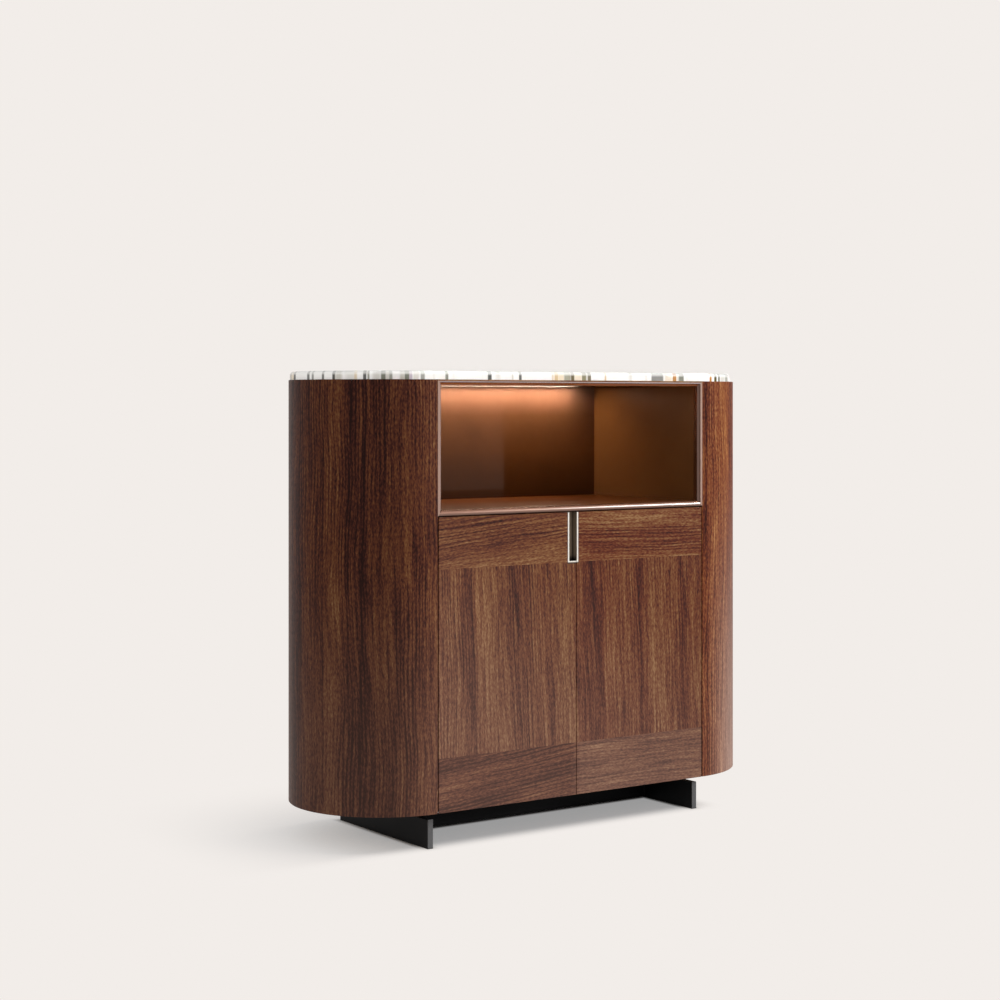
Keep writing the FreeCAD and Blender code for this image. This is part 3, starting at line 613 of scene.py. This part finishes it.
# %% Beds of the stone
STONE_PAINTS = {
    "charcoal": tint(36, 38, 34), "slate": tint(64, 68, 62), "sage": tint(100, 104, 84),
    "mist": tint(190, 186, 172), "sand": tint(228, 208, 168), "honey": tint(206, 172, 104),
    "gold": tint(198, 134, 50), "olive": tint(94, 82, 32), "moss": tint(124, 118, 72),
    "lilac": tint(172, 152, 170),
}
STONE_BEDS = [
    (-656, -650.5, 1, "olive", 0.9), (-650.5, -646.2, 1, "sand", 0.8),
    (-646.2, -641.8, 1, "charcoal", 1.0), (-615, -609.2, 2, "slate", 0.85), (-604, -599, 2, "slate", 0.7),
    (-579.5, -574, 2, "slate", 0.85), (-554, -547, 2, "charcoal", 0.95), (-547, -530, 12, "mist", 0.7),
    (-520, -499, 10, "mist", 0.45), (-500, -493, 4, "honey", 0.6), (-478, -470, 2, "charcoal", 0.95),
    (-467, -462, 2, "sage", 0.8), (-454, -435, 10, "mist", 0.5), (-433, -421, 4, "sage", 0.9),
    (-421, -412, 4, "mist", 0.6), (-412, -404, 4, "sage", 0.75), (-384, -372, 6, "mist", 0.7),
    (-372, -360, 3, "sage", 0.9), (-360, -352, 3, "lilac", 0.7), (-350, -334, 8, "mist", 0.5),
    (-330, -319, 4, "sage", 0.7), (-262.5, -254.5, 3, "sage", 0.9), (-143, -132, 3, "slate", 0.95),
    (-74, -69, 4, "mist", 0.6), (-53, -45, 3, "slate", 0.9), (44, 50, 4, "honey", 0.5),
    (52, 63, 3, "honey", 0.8), (63, 81, 6, "sand", 0.7), (81, 102, 6, "moss", 0.75),
    (102, 112, 3, "olive", 0.95), (112, 135, 6, "sand", 0.6), (135, 148, 3, "moss", 0.9),
    (148, 153, 3, "mist", 0.7), (153, 163, 3, "olive", 0.9), (205, 210, 3, "honey", 0.7),
    (353, 391, 5, "slate", 0.75), (397, 420, 8, "sand", 0.5), (422, 434, 3, "gold", 0.95),
    (436, 442, 3, "mist", 0.6), (442, 458, 4, "sage", 0.85), (545, 553, 3, "gold", 1.0),
    (562, 572, 3, "olive", 1.0), (576, 586, 4, "sage", 0.85), (588, 607, 8, "mist", 0.8),
    (608, 624, 6, "sage", 0.8),
]
print("stone:", len(STONE_BEDS), "beds in", len(STONE_PAINTS), "colours")

# %% [markdown]
# The pattern is a function of one slanted coordinate, bent by a slow noise, and each bed is mixed over
# white. Near the rim the place is pushed out to the outline first, so that each bed turns over the
# rounded edge squarely, as it does where a mason picks the slab for its edge. On the upper rounding the
# beds are painted fainter, towards white, as a painted highlight where that edge mirrors the bright room.

# %% Banded stone
STONE_SLANT = -0.5
STONE_WHITE = tint(252, 251, 248)
STONE_CLOUD = tint(222, 220, 212)
ROUNDING = 0.010
BEND = 0.12
BEND_SCALE = 3.5
BEND_FADE = 0.12
HIGHLIGHT_HEIGHT = 0.011
HIGHLIGHT_FADE = 0.60
slab_low, slab_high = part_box("marble_top")
slab_radius = 0.5 * (slab_high.y - slab_low.y)
slab_middle = 0.5 * (slab_high.y + slab_low.y)

banded_stone, tree, shader = finish("banded_stone")
x, y, z = place(tree)
straight = calc(tree, "MINIMUM", calc(tree, "MAXIMUM", x, -FRONT_HALF), FRONT_HALF)
out_x = diff(tree, x, straight)
out_y = diff(tree, y, slab_middle)
squares = total(tree, calc(tree, "POWER", out_x, 2.0), calc(tree, "POWER", out_y, 2.0))
reach = calc(tree, "SQRT", squares)
at_rim = step(tree, reach, slab_radius - 2 * ROUNDING, slab_radius - ROUNDING)
growth = diff(tree, calc(tree, "DIVIDE", slab_radius, reach), 1.0)
push = line(tree, growth, at_rim, 1.0)
rim_x = line(tree, out_x, push, straight)
rim_y = line(tree, out_y, push, slab_middle)
slow = noise(tree, location(tree), scale=BEND_SCALE, detail=2.0)
bend = prod(tree, swing(tree, slow, BEND),
            step(tree, reach, slab_radius - ROUNDING, slab_radius - BEND_FADE))
layer = total(tree, rim_x, prod(tree, rim_y, STONE_SLANT), bend)
# Painted highlight: the beds fade towards white on the upper rounding of the rim.
painted_highlight = prod(tree, step(tree, z, slab_high.z - HIGHLIGHT_HEIGHT, slab_high.z - 0.4 * HIGHLIGHT_HEIGHT),
               step(tree, reach, slab_radius - 1.4 * ROUNDING, slab_radius - ROUNDING))
clear_share = line(tree, painted_highlight, -HIGHLIGHT_FADE, 1.0)
cloud = grain(tree, layer, y, 40.0, 4.0, 3.0, detail=3.0)
colour = mixed(tree, step(tree, cloud, 0.55, 0.80), STONE_WHITE, STONE_CLOUD)
for start, end, soft, paint, density in STONE_BEDS:
    middle, half, blur = (0.001 * length for length in (0.5 * (start + end), 0.5 * (end - start), 0.5 * soft))
    off_middle = calc(tree, "ABSOLUTE", diff(tree, layer, middle))
    inside = prod(tree, step(tree, off_middle, half + blur, half - blur), density)
    colour = mixed(tree, prod(tree, inside, clear_share), colour, STONE_PAINTS[paint])
dress(tree, shader, {"Base Color": colour, "Specular IOR Level": 0.4,
                     "Roughness": line(tree, cloud, 0.08, 0.10)})
print("slab:", round(slab_high.x - slab_low.x, 3), "m long, beds turn over the last", ROUNDING * 1000, "mm")

# %% [markdown]
# The niche is lined with boards in bronze lacquer, polished until it mirrors. Metal powder in the coat
# tints what it mirrors, so the shader gets a specular tint. The back is painted darker low down and paler
# near the top, as painted light from the strip above it. The walls get a little paler with the height, and
# the coat of the floor darker towards its right end. The floor of the niche is rubbed down to satin,
# because things are set down on it.

# %% Bronze lacquer
BRONZE_MIRROR = (1.0, 0.66, 0.50, 1.0)
CLOUD_SHADE = (0.88, 0.88, 0.88, 1.0)
CLEAR_SHADE = (1.0, 1.0, 1.0, 1.0)
niche_low, niche_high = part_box("niche_back")


def lacquer(name, coats, roughness, specular, axis=2):
    """Coats are colours along an axis, from one edge of the niche to the other; on the back they hold painted
    light.
    """
    material, tree, shader = finish(name)
    spots = location(tree)
    cloud = noise(tree, spots, scale=9.0, detail=3.0)
    peel = noise(tree, spots, scale=420.0, detail=1.0)
    off_edge = diff(tree, place(tree)[axis], niche_low[axis])
    share = calc(tree, "DIVIDE", off_edge, niche_high[axis] - niche_low[axis])
    shade = mixed(tree, step(tree, cloud, 0.3, 0.7), CLOUD_SHADE, CLEAR_SHADE)
    coat = mixed(tree, 1.0, ramp(tree, share, coats), shade, "MULTIPLY")
    dress(tree, shader, {"Base Color": coat, "Specular IOR Level": specular, "Specular Tint": BRONZE_MIRROR,
                         "Roughness": line(tree, cloud, 0.04, roughness - 0.02)})
    relief(tree, shader, peel, 0.01, 0.0001)
    return material


WALL_COATS = [(0.0, tint(92, 59, 30)), (0.5, tint(98, 63, 32)), (1.0, tint(108, 70, 37))]
# Painted light: the back's coat is darker low down and paler towards the strip above.
BACK_COATS_WITH_PAINTED_LIGHT = [(0.0, tint(66, 38, 16)), (0.12, tint(82, 49, 22)), (0.25, tint(88, 53, 25)),
              (0.45, tint(99, 61, 31)), (0.75, tint(93, 61, 39)), (0.97, tint(110, 80, 64))]
FLOOR_COATS = [(0.0, tint(90, 48, 20)), (0.6, tint(94, 51, 22)), (1.0, tint(74, 38, 15))]
wall_lacquer = lacquer("wall_lacquer", WALL_COATS, 0.30, 0.20)
back_lacquer = lacquer("back_lacquer", BACK_COATS_WITH_PAINTED_LIGHT, 0.05, 0.30)
floor_lacquer = lacquer("floor_lacquer", FLOOR_COATS, 0.30, 0.14, axis=0)
print("lacquers:", wall_lacquer.name, back_lacquer.name, floor_lacquer.name)

# %% [markdown]
# Bare metal shows its making: drawn and brushed bars carry fine lines along their length. One function
# makes all the bright metals, with the colour, the gloss and the direction of the lines given.

# %% Brushed metals
def brushed(name, colour, roughness, scale, strength, metallic=1.0):
    """Colour is a plain colour, or a function of the place that gives one; scale sets the lines apart."""
    material, tree, shader = finish(name)
    x, y, z = place(tree)
    scaled = [prod(tree, spot, per_metre) for spot, per_metre in zip((x, y, z), scale)]
    lines = noise(tree, add(tree, "CombineXYZ", dict(zip("XYZ", scaled))).outputs[0], detail=3.0)
    worn = noise(tree, location(tree), scale=14.0, detail=3.0)
    clean = colour(tree, x, y, z) if callable(colour) else colour
    metal = mixed(tree, 1.0, clean, ramp(tree, lines, [(0.0, 0.82), (1.0, 1.0)]), "MULTIPLY")
    rough = total(tree, roughness - 0.08, prod(tree, lines, 0.10), prod(tree, worn, 0.06))
    dress(tree, shader, {"Base Color": metal, "Metallic": metallic, "Roughness": rough})
    relief(tree, shader, lines, strength, 0.0002)
    return material


plain_steel = brushed("plain_steel", tint(176, 176, 178), 0.34, (300.0, 40.0, 300.0), 0.08)
turned_brass = brushed("turned_brass", tint(206, 172, 98), 0.28, (300.0, 300.0, 1800.0), 0.08)
light_channel = brushed("light_channel", tint(214, 214, 216), 0.36, (8.0, 1500.0, 1500.0), 0.06)
print("brushed metals:", plain_steel.name, turned_brass.name, light_channel.name)

# %% [markdown]
# The frame round the niche is bronzed. Its narrow front face is painted paler, as a painted reflection of
# the bright room, and the hollow behind it is painted darker brown, as painted shade. Its colour is
# therefore a function of the place: the depth behind the front, and on the rails the height too. The
# lower rail is painted in bands over its height, as painted light and shade across the rail, with a
# painted highlight along a line at half height that grows brighter to the right.

# %% Bronze frame
# Painted shade: the hollow colours; the face colours below are painted paler as a reflection.
BRONZE_COVE = tint(118, 92, 82)
BRONZE_DEEP = tint(92, 56, 32)
STILE_FACE = tint(168, 138, 124)
HEAD_FACE = [(0.80, tint(178, 164, 162)), (0.92, tint(116, 74, 54))]
HEAD_COVE = tint(146, 82, 44)
# Painted light and shade in bands over the lower rail's height, and a painted highlight line along it.
SILL_PAINTED_SHADING = [(0.0, tint(96, 72, 64)), (0.25, tint(132, 102, 90)), (0.62, tint(140, 102, 86)),
            (0.85, tint(156, 114, 94)), (1.0, tint(110, 70, 50))]
SILL_PAINTED_HIGHLIGHT = [(0.05, tint(150, 112, 95)), (0.35, tint(182, 150, 134)), (0.65, tint(236, 226, 220)),
               (1.0, tint(255, 255, 255))]
HIGHLIGHT_LINE = 0.55
COVE_START = 0.0004
COVE_FULL = 0.0020
DEEP_START = 0.0060
DEEP_FULL = 0.0100
frame_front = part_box("frame_top_rail")[0].y
ALONG_X = (6.0, 900.0, 900.0)
ALONG_Z = (900.0, 900.0, 6.0)


def height_share(tree, z, node):
    """0 at the foot of a node and 1 at its head."""
    low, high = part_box(node)
    return calc(tree, "DIVIDE", diff(tree, z, low.z), high.z - low.z)


def stile_colour(tree, x, y, z):
    """A face painted paler as a reflection, and a hollow and its deep end painted darker as shade."""
    behind = diff(tree, y, frame_front)
    hollow = mixed(tree, step(tree, behind, DEEP_START, DEEP_FULL), BRONZE_COVE, BRONZE_DEEP)
    return mixed(tree, step(tree, behind, COVE_START, COVE_FULL), STILE_FACE, hollow)


def head_colour(tree, x, y, z):
    """A face painted paler as a reflection that darkens at its upper edge, over a hollow painted brown as
    shade.
    """
    behind = diff(tree, y, frame_front)
    face = ramp(tree, height_share(tree, z, "frame_top_rail"), HEAD_FACE)
    return mixed(tree, step(tree, behind, COVE_START, COVE_FULL), face, HEAD_COVE)


def sill_colour(tree, x, y, z):
    """A bar painted in bands as light and shade, with a painted highlight along it that is brighter to the
    right.
    """
    share = height_share(tree, z, "frame_bottom_rail")
    painted_bright = ramp(tree, line(tree, x, 0.5 / FRONT_HALF, 0.5), SILL_PAINTED_HIGHLIGHT)
    off_line = calc(tree, "ABSOLUTE", diff(tree, share, HIGHLIGHT_LINE))
    return mixed(tree, step(tree, off_line, 0.14, 0.04), ramp(tree, share, SILL_PAINTED_SHADING), painted_bright)


bronze_stile = brushed("bronze_stile", stile_colour, 0.26, ALONG_Z, 0.02, 0.6)
bronze_head = brushed("bronze_head", head_colour, 0.26, ALONG_X, 0.02, 0.6)
bronze_sill = brushed("bronze_sill", sill_colour, 0.26, ALONG_X, 0.02, 0.6)
print("bronze frame:", bronze_stile.name, bronze_head.name, bronze_sill.name)

# %% [markdown]
# The flush handle is satin nickel with a patinated recess. The bright rim is polished by hands, and the
# deeper metal behind it stays dark; at the foot of the recess it is painted near black, as painted shadow.
# So the colour follows the depth behind the front face and the height, and fine upright lines show how the
# recess was milled. The inner edge of the rim and its foot are eased. They turn away from the light, so a
# darker tone stands for them.

# %% Handle metal
RIM_DEPTH = 0.0015
RECESS_DEPTH = 0.0045
RECESS_SHADOW_HEIGHT = 0.022
RIM_WIDTH = 0.0050
EASED = 0.0016
POLISHED = (tint(216, 211, 202), tint(236, 232, 225))
EASED_TONE = tint(112, 102, 90)
MILLED_TONES = [(0.3, tint(96, 84, 72)), (0.7, tint(160, 144, 126))]
RECESS_SHADOW_TONE = tint(22, 18, 16)
handle_front = handle_low.y
strip_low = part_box("handle_edge_strip")[0]
satin_nickel, tree, shader = finish("satin_nickel")
x, y, z = place(tree)
brush = grain(tree, x, z, 1400.0, 10.0, 1.0, detail=3.0)
milled = grain(tree, total(tree, x, y), z, 420.0, 4.0, 2.0)
depth_share = step(tree, y, handle_front + RIM_DEPTH, handle_front + RECESS_DEPTH)
polish = mixed(tree, brush, *POLISHED)
past_left = step(tree, x, handle_low.x + RIM_WIDTH - EASED, handle_low.x + RIM_WIDTH - 0.5 * EASED)
before_right = step(tree, x, strip_low.x + EASED, strip_low.x + 0.5 * EASED)
under_foot = step(tree, z, handle_low.z + 1.7 * EASED, handle_low.z + 1.2 * EASED)
above_foot = step(tree, z, handle_low.z + RIM_WIDTH, handle_low.z + RIM_WIDTH + EASED)
eased = calc(tree, "MAXIMUM", prod(tree, past_left, before_right, above_foot), under_foot)
rim_colour = mixed(tree, eased, polish, EASED_TONE)
milled_colour = ramp(tree, milled, MILLED_TONES)
# Painted shadow: the recess turns near black towards its foot.
recess_shadow = step(tree, z, handle_low.z + RECESS_SHADOW_HEIGHT, handle_low.z + 0.2 * RECESS_SHADOW_HEIGHT)
recess_colour = mixed(tree, recess_shadow, milled_colour, RECESS_SHADOW_TONE)
rough = total(tree, 0.24, prod(tree, brush, 0.10), prod(tree, depth_share, 0.16))
dress(tree, shader, {"Base Color": mixed(tree, depth_share, rim_colour, recess_colour), "Metallic": 0.5,
                     "Roughness": rough})
relief(tree, shader, brush, 0.05, 0.0002)
print("handle: rim to", RIM_DEPTH * 1000, "mm, recess from", RECESS_DEPTH * 1000, "mm")

# %% [markdown]
# Coated and moulded surfaces have no lines but a fine skin: the orange peel of powder coat, the grain of
# moulded plastic or rubber. One function makes them from a colour, a gloss and the size of that grain.
# The narrow ends of the base plates, which face the room and the light, are painted a paler grey, as painted
# light.

# %% Coated and moulded surfaces
def skinned(name, colour, roughness, grain_scale, strength, specular=0.5, painted_bright=None):
    """A coat or moulding; painted_bright says from which depth to which it is painted paler as lit, and its
    colour there.
    """
    material, tree, shader = finish(name)
    spots = location(tree)
    texture = noise(tree, spots, scale=grain_scale, detail=2.0)
    patch = noise(tree, spots, scale=11.0, detail=3.0)
    pale = tuple(min(1.0, 1.25 * part + 0.002) for part in colour[:3]) + (1.0,)
    coat = mixed(tree, patch, colour, pale)
    if painted_bright:
        start, end, lit_colour = painted_bright
        coat = mixed(tree, step(tree, calc(tree, "ABSOLUTE", place(tree)[1]), start, end), coat, lit_colour)
    dress(tree, shader, {"Base Color": coat, "Specular IOR Level": specular,
                         "Roughness": line(tree, patch, 0.10, roughness - 0.05)})
    relief(tree, shader, texture, strength, 0.0003)
    return material


# Painted light: the plate ends that face the room are painted a paler grey.
LIT_END_START = 0.0012
LIT_END_FULL = 0.0004
plate_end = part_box("left_base_plate")[1].y
powder_coat = skinned("powder_coat", tint(21, 21, 22), 0.50, 900.0, 0.12, 0.08,
                      (plate_end - LIT_END_START, plate_end - LIT_END_FULL, tint(90, 90, 91)))
black_lacquer = skinned("black_lacquer", tint(16, 15, 15), 0.50, 500.0, 0.05, 0.15)
pad_rubber = skinned("pad_rubber", tint(24, 24, 24), 0.85, 1500.0, 0.20)
black_plastic = skinned("black_plastic", tint(30, 30, 31), 0.55, 1300.0, 0.15)
white_plastic = skinned("white_plastic", tint(226, 225, 220), 0.50, 1300.0, 0.10)
print("skins:", powder_coat.name, black_lacquer.name, pad_rubber.name, black_plastic.name, white_plastic.name)

# %% [markdown]
# Ribs inside the rounded ends are bare plywood. Its edge shows thin plies, light and dark in turn, so a
# wave along Z draws them, and a noise breaks the wave up.

# %% Bare plywood
PLY = 0.0015
PLY_TONES = [(0.2, tint(150, 116, 80)), (0.8, tint(214, 184, 142))]
raw_plywood, tree, shader = finish("raw_plywood")
ragged = noise(tree, location(tree), scale=60.0, detail=3.0)
plies = calc(tree, "SINE", prod(tree, place(tree)[2], math.pi / PLY))
ply_tone = line(tree, plies, 0.2, line(tree, ragged, 0.6, 0.2))
dress(tree, shader, {"Base Color": ramp(tree, ply_tone, PLY_TONES), "Roughness": 0.65})
relief(tree, shader, ragged, 0.1, 0.0004)
print("plywood: plies of", PLY * 1000, "mm")

# %% [markdown]
# The light is a strip of diodes behind a frosted cover. Only the cover is seen, so the cover itself
# glows. The colour is the warm white of such strips, and a slow cloudiness shows that the frosting isn't
# perfectly even. The strip is fed at its right end, and like any long strip it dims a little away from
# there.

# %% Glowing cover
LIGHT_STRENGTH = 118.0
DIMMING = [(0.0, 0.78), (0.5, 0.86), (1.0, 1.0)]
COVER_TONES = [(0.3, tint(250, 236, 214)), (0.7, tint(255, 244, 226))]
GLOW_TONES = [(0.3, tint(255, 226, 200)), (0.7, tint(255, 231, 207))]
cover_low, cover_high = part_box("led_diffuser")
cover_length = cover_high.x - cover_low.x
light_cover, tree, shader = finish("light_cover")
frosting = noise(tree, location(tree), scale=30.0, detail=2.0)
along_strip = calc(tree, "DIVIDE", diff(tree, place(tree)[0], cover_low.x), cover_length)
dimmed = ramp(tree, along_strip, DIMMING)
glow = mixed(tree, 1.0, ramp(tree, frosting, GLOW_TONES), dimmed, "MULTIPLY")
dress(tree, shader, {"Base Color": ramp(tree, frosting, COVER_TONES), "Emission Color": glow,
                     "Emission Strength": LIGHT_STRENGTH})
print("light:", round(cover_length, 3), "m of glowing cover")

# %% [markdown]
# Each node of the frame names a material slot. This table says which finish belongs to which slot, and a
# few nodes that need their own cut of veneer or their own direction of brushing are named after it.

# %% Finishes on the nodes
SLOT_FINISH = {
    "marble": banded_stone, "walnut_veneer": back_veneer, "carcass_board": board_foil,
    "raw_plywood": raw_plywood, "niche_lacquer": wall_lacquer, "bronze_frame": bronze_stile,
    "handle_metal": satin_nickel, "hinge_steel": plain_steel, "bush_brass": turned_brass,
    "base_steel": powder_coat, "plinth_paint": black_lacquer, "pad_rubber": pad_rubber,
    "light_channel": light_channel, "light_cover": light_cover, "black_plastic": black_plastic,
    "white_plastic": white_plastic,
}
NODE_FINISH = {
    "left_door_panel": door_veneer, "right_door_panel": door_veneer,
    "left_end_shell": left_end_veneer, "right_end_shell": right_end_veneer,
    "frame_top_rail": bronze_head, "frame_bottom_rail": bronze_sill,
    "niche_floor": floor_lacquer, "niche_back": back_lacquer, "top_lipping": lipping_foil,
    "left_partition": upright_foil, "right_partition": upright_foil,
}
for part in frame["record"]["subparts"]:
    chosen = NODE_FINISH.get(part["node"], SLOT_FINISH[part["material_slot"]])
    nodes[part["node"]].material_slots[0].material = chosen
print("finishes:", len(SLOT_FINISH), "slots,", len(NODE_FINISH), "nodes with their own")

# %% [markdown]
# Small fittings get their real form now. They are mesh work: a box or a profile comes first, then bevels,
# insets and spins shape it. Three helpers do what every fitting needs: a box between two corners, rounded
# edges, and the finished piece with its finish, the body that it rides on and the node that it stands
# for, if there is one.

# %% Helpers for fittings
CREASE = math.radians(35.0)


def block(mesh, low, high):
    """A box between two corners."""
    made = bmesh.ops.create_cube(mesh, size=1.0)["verts"]
    bmesh.ops.scale(mesh, vec=high - low, verts=made)
    bmesh.ops.translate(mesh, vec=0.5 * (low + high), verts=made)


def rounded(mesh, edges, radius, segments):
    """Rounds edges over."""
    bmesh.ops.bevel(mesh, geom=edges, offset=radius, segments=segments, profile=0.5, affect="EDGES",
                    material=-1)
    mesh.normal_update()


def fitted(mesh, name, slot, stands_for=None):
    """Makes the piece that a mesh describes, on the carcass."""
    bmesh.ops.recalc_face_normals(mesh, faces=mesh.faces[:])
    for face in mesh.faces:
        face.smooth = True
    for edge in mesh.edges:
        edge.smooth = edge.calc_face_angle(0.0) < CREASE
    data = bpy.data.meshes.new(name)
    mesh.to_mesh(data)
    mesh.free()
    data.materials.append(SLOT_FINISH[slot])
    piece = bpy.data.objects.new(name, data)
    scene.collection.objects.link(piece)
    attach(piece, "carcass")
    if stands_for:
        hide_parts(stands_for)
    print(name + ":", len(data.polygons), "faces")


print("fittings: edges sharper than", round(math.degrees(CREASE)), "degrees stay crisp")

# %% [markdown]
# Magnetic catches hold the doors shut. A real one is a moulded case with a magnet between two steel pole
# plates, whose edges show in a hollow at the front. A box with rounded edges makes the case. Its front
# face is inset and sunk for the hollow, and its underside is sunk a little too, as moulded cases are to
# save plastic.

# %% Magnetic catches
CATCH_ROUND = 0.0020
CATCH_LIP = 0.0018
CATCH_HOLLOW = 0.0014
CATCH_SINK = 0.0007
POLE_SIDE = 0.0060
POLE_HEIGHT = 0.0022
POLE_SPREAD = 0.0026
POLE_DEPTH = 0.0100
POLE_SHY = 0.0001
POLE_ROUND = 0.0003
TOP_EDGE = 0.001
SQUARELY = 0.999

for side in ("left", "right"):
    low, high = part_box(side + "_catch")
    case = bmesh.new()
    block(case, low, high)
    free_edges = [edge for edge in case.edges if min(vert.co.z for vert in edge.verts) < high.z - TOP_EDGE]
    rounded(case, free_edges, CATCH_ROUND, 3)
    for facing, sunk in ((Vector((0, -1, 0)), CATCH_HOLLOW), (Vector((0, 0, -1)), CATCH_SINK)):
        faces = [face for face in case.faces if face.normal.dot(facing) > SQUARELY]
        bmesh.ops.inset_region(case, faces=faces, thickness=CATCH_LIP, depth=0.0, use_even_offset=True)
        sunk_verts = list({vert for face in faces for vert in face.verts})
        bmesh.ops.translate(case, vec=-sunk * facing, verts=sunk_verts)
        case.normal_update()
    fitted(case, side + "_catch_case", "black_plastic", side + "_catch")
    poles = bmesh.new()
    for sign in (-1, 1):
        pole_z = 0.5 * (low.z + high.z) + sign * POLE_SPREAD
        block(poles, Vector((low.x + POLE_SIDE, low.y + POLE_SHY, pole_z - 0.5 * POLE_HEIGHT)),
              Vector((high.x - POLE_SIDE, low.y + POLE_DEPTH, pole_z + 0.5 * POLE_HEIGHT)))
    rounded(poles, poles.edges[:], POLE_ROUND, 2)
    fitted(poles, side + "_catch_poles", "hinge_steel")

# %% [markdown]
# The grommet in the back panel is a ring of rubber with a thin skin across it. A lead can be pushed
# through the skin, so it is scored like a star. A profile from the middle of the skin to the barrel is
# spun round the middle of the hole, and every sixth face of the skin is sunk for the score marks.

# %% Rubber grommet
GROMMET_TURNS = 48
SCORE_EVERY = 6
SCORE_LIP = 0.00025
SCORE_DEPTH = 0.0004
SKIN_FROM = 0.004
SKIN_TO = 0.010


def turn(face):
    """The angle at which a face of the grommet lies about its hub."""
    spot = face.calc_center_median() - hub
    return math.atan2(spot.z, spot.x)


low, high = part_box("cable_grommet")
flange = 0.5 * (high.x - low.x)
barrel = flange - 0.005
hub = Vector((0.5 * (low.x + high.x), high.y, 0.5 * (low.z + high.z)))
board = high.y - low.y
GROMMET_PROFILE = [(0.0025, 0.0013), (0.0108, 0.0010), (0.0120, 0.0003), (0.0128, 0.0),
                   (flange - 0.0012, 0.0), (flange - 0.0003, 0.0005), (flange, 0.0012), (flange, 0.0020),
                   (barrel, 0.0020), (barrel, board), (barrel - 0.0030, board), (barrel - 0.0030, 0.0026),
                   (0.0025, 0.0026)]
grommet = bmesh.new()
ring = [grommet.verts.new(hub + Vector((radius, -depth, 0.0))) for radius, depth in GROMMET_PROFILE]
profile = [grommet.edges.new(pair) for pair in zip(ring, ring[1:])]
bmesh.ops.spin(grommet, geom=ring + profile, cent=hub, axis=(0.0, 1.0, 0.0), angle=2 * math.pi,
               steps=GROMMET_TURNS, use_merge=True, use_duplicate=False)
bmesh.ops.holes_fill(grommet, edges=[edge for edge in grommet.edges if edge.is_boundary], sides=0)
bmesh.ops.recalc_face_normals(grommet, faces=grommet.faces[:])
skin = [face for face in grommet.faces if face.normal.y > 0.9 and len(face.verts) == 4
        and SKIN_FROM < (face.calc_center_median() - hub).length < SKIN_TO]
skin.sort(key=turn)
bmesh.ops.inset_individual(grommet, faces=skin[::SCORE_EVERY], thickness=SCORE_LIP, depth=-SCORE_DEPTH,
                           use_even_offset=True)
fitted(grommet, "scored_grommet", "black_plastic", "cable_grommet")

# %% [markdown]
# The spine of the base is welded between the two plates. A weld lies in each inner corner as a bead with
# ripples, one for each drop of metal. A cylinder on end is cut into many rings, and the rings swell and
# shrink in turn.

# %% Weld beads
BEAD_RADIUS = 0.0030
BEAD_SIDES = 10
BEAD_RINGS = 40
RIPPLE = 0.0004
RIPPLE_PITCH = 0.0050

spine_low, spine_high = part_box("base_spine")
beads = bmesh.new()
for corner_x in (spine_low.x, spine_high.x):
    for corner_y in (spine_low.y, spine_high.y):
        foot_z, head_z = spine_low.z + BEAD_RADIUS, spine_high.z - BEAD_RADIUS
        bead = bmesh.ops.create_cone(beads, cap_ends=True, segments=BEAD_SIDES, radius1=BEAD_RADIUS,
                                     radius2=BEAD_RADIUS, depth=head_z - foot_z)["verts"]
        middle = Vector((corner_x, corner_y, 0.5 * (foot_z + head_z)))
        bmesh.ops.translate(beads, vec=middle, verts=bead)
        sides = [edge for edge in beads.edges if edge.verts[0] in bead and edge.verts[1] in bead
                 and abs(edge.verts[0].co.z - edge.verts[1].co.z) > BEAD_RADIUS]
        bmesh.ops.subdivide_edges(beads, edges=sides, cuts=BEAD_RINGS, use_grid_fill=True)
        axis = Vector((corner_x, corner_y))
        for vert in beads.verts:
            off_axis = vert.co.xy - axis
            if off_axis.length < 2 * BEAD_RADIUS:
                swell = 1.0 + RIPPLE / BEAD_RADIUS * math.sin(2 * math.pi * vert.co.z / RIPPLE_PITCH)
                vert.co.xy = axis + swell * off_axis
fitted(beads, "weld_beads", "base_steel")
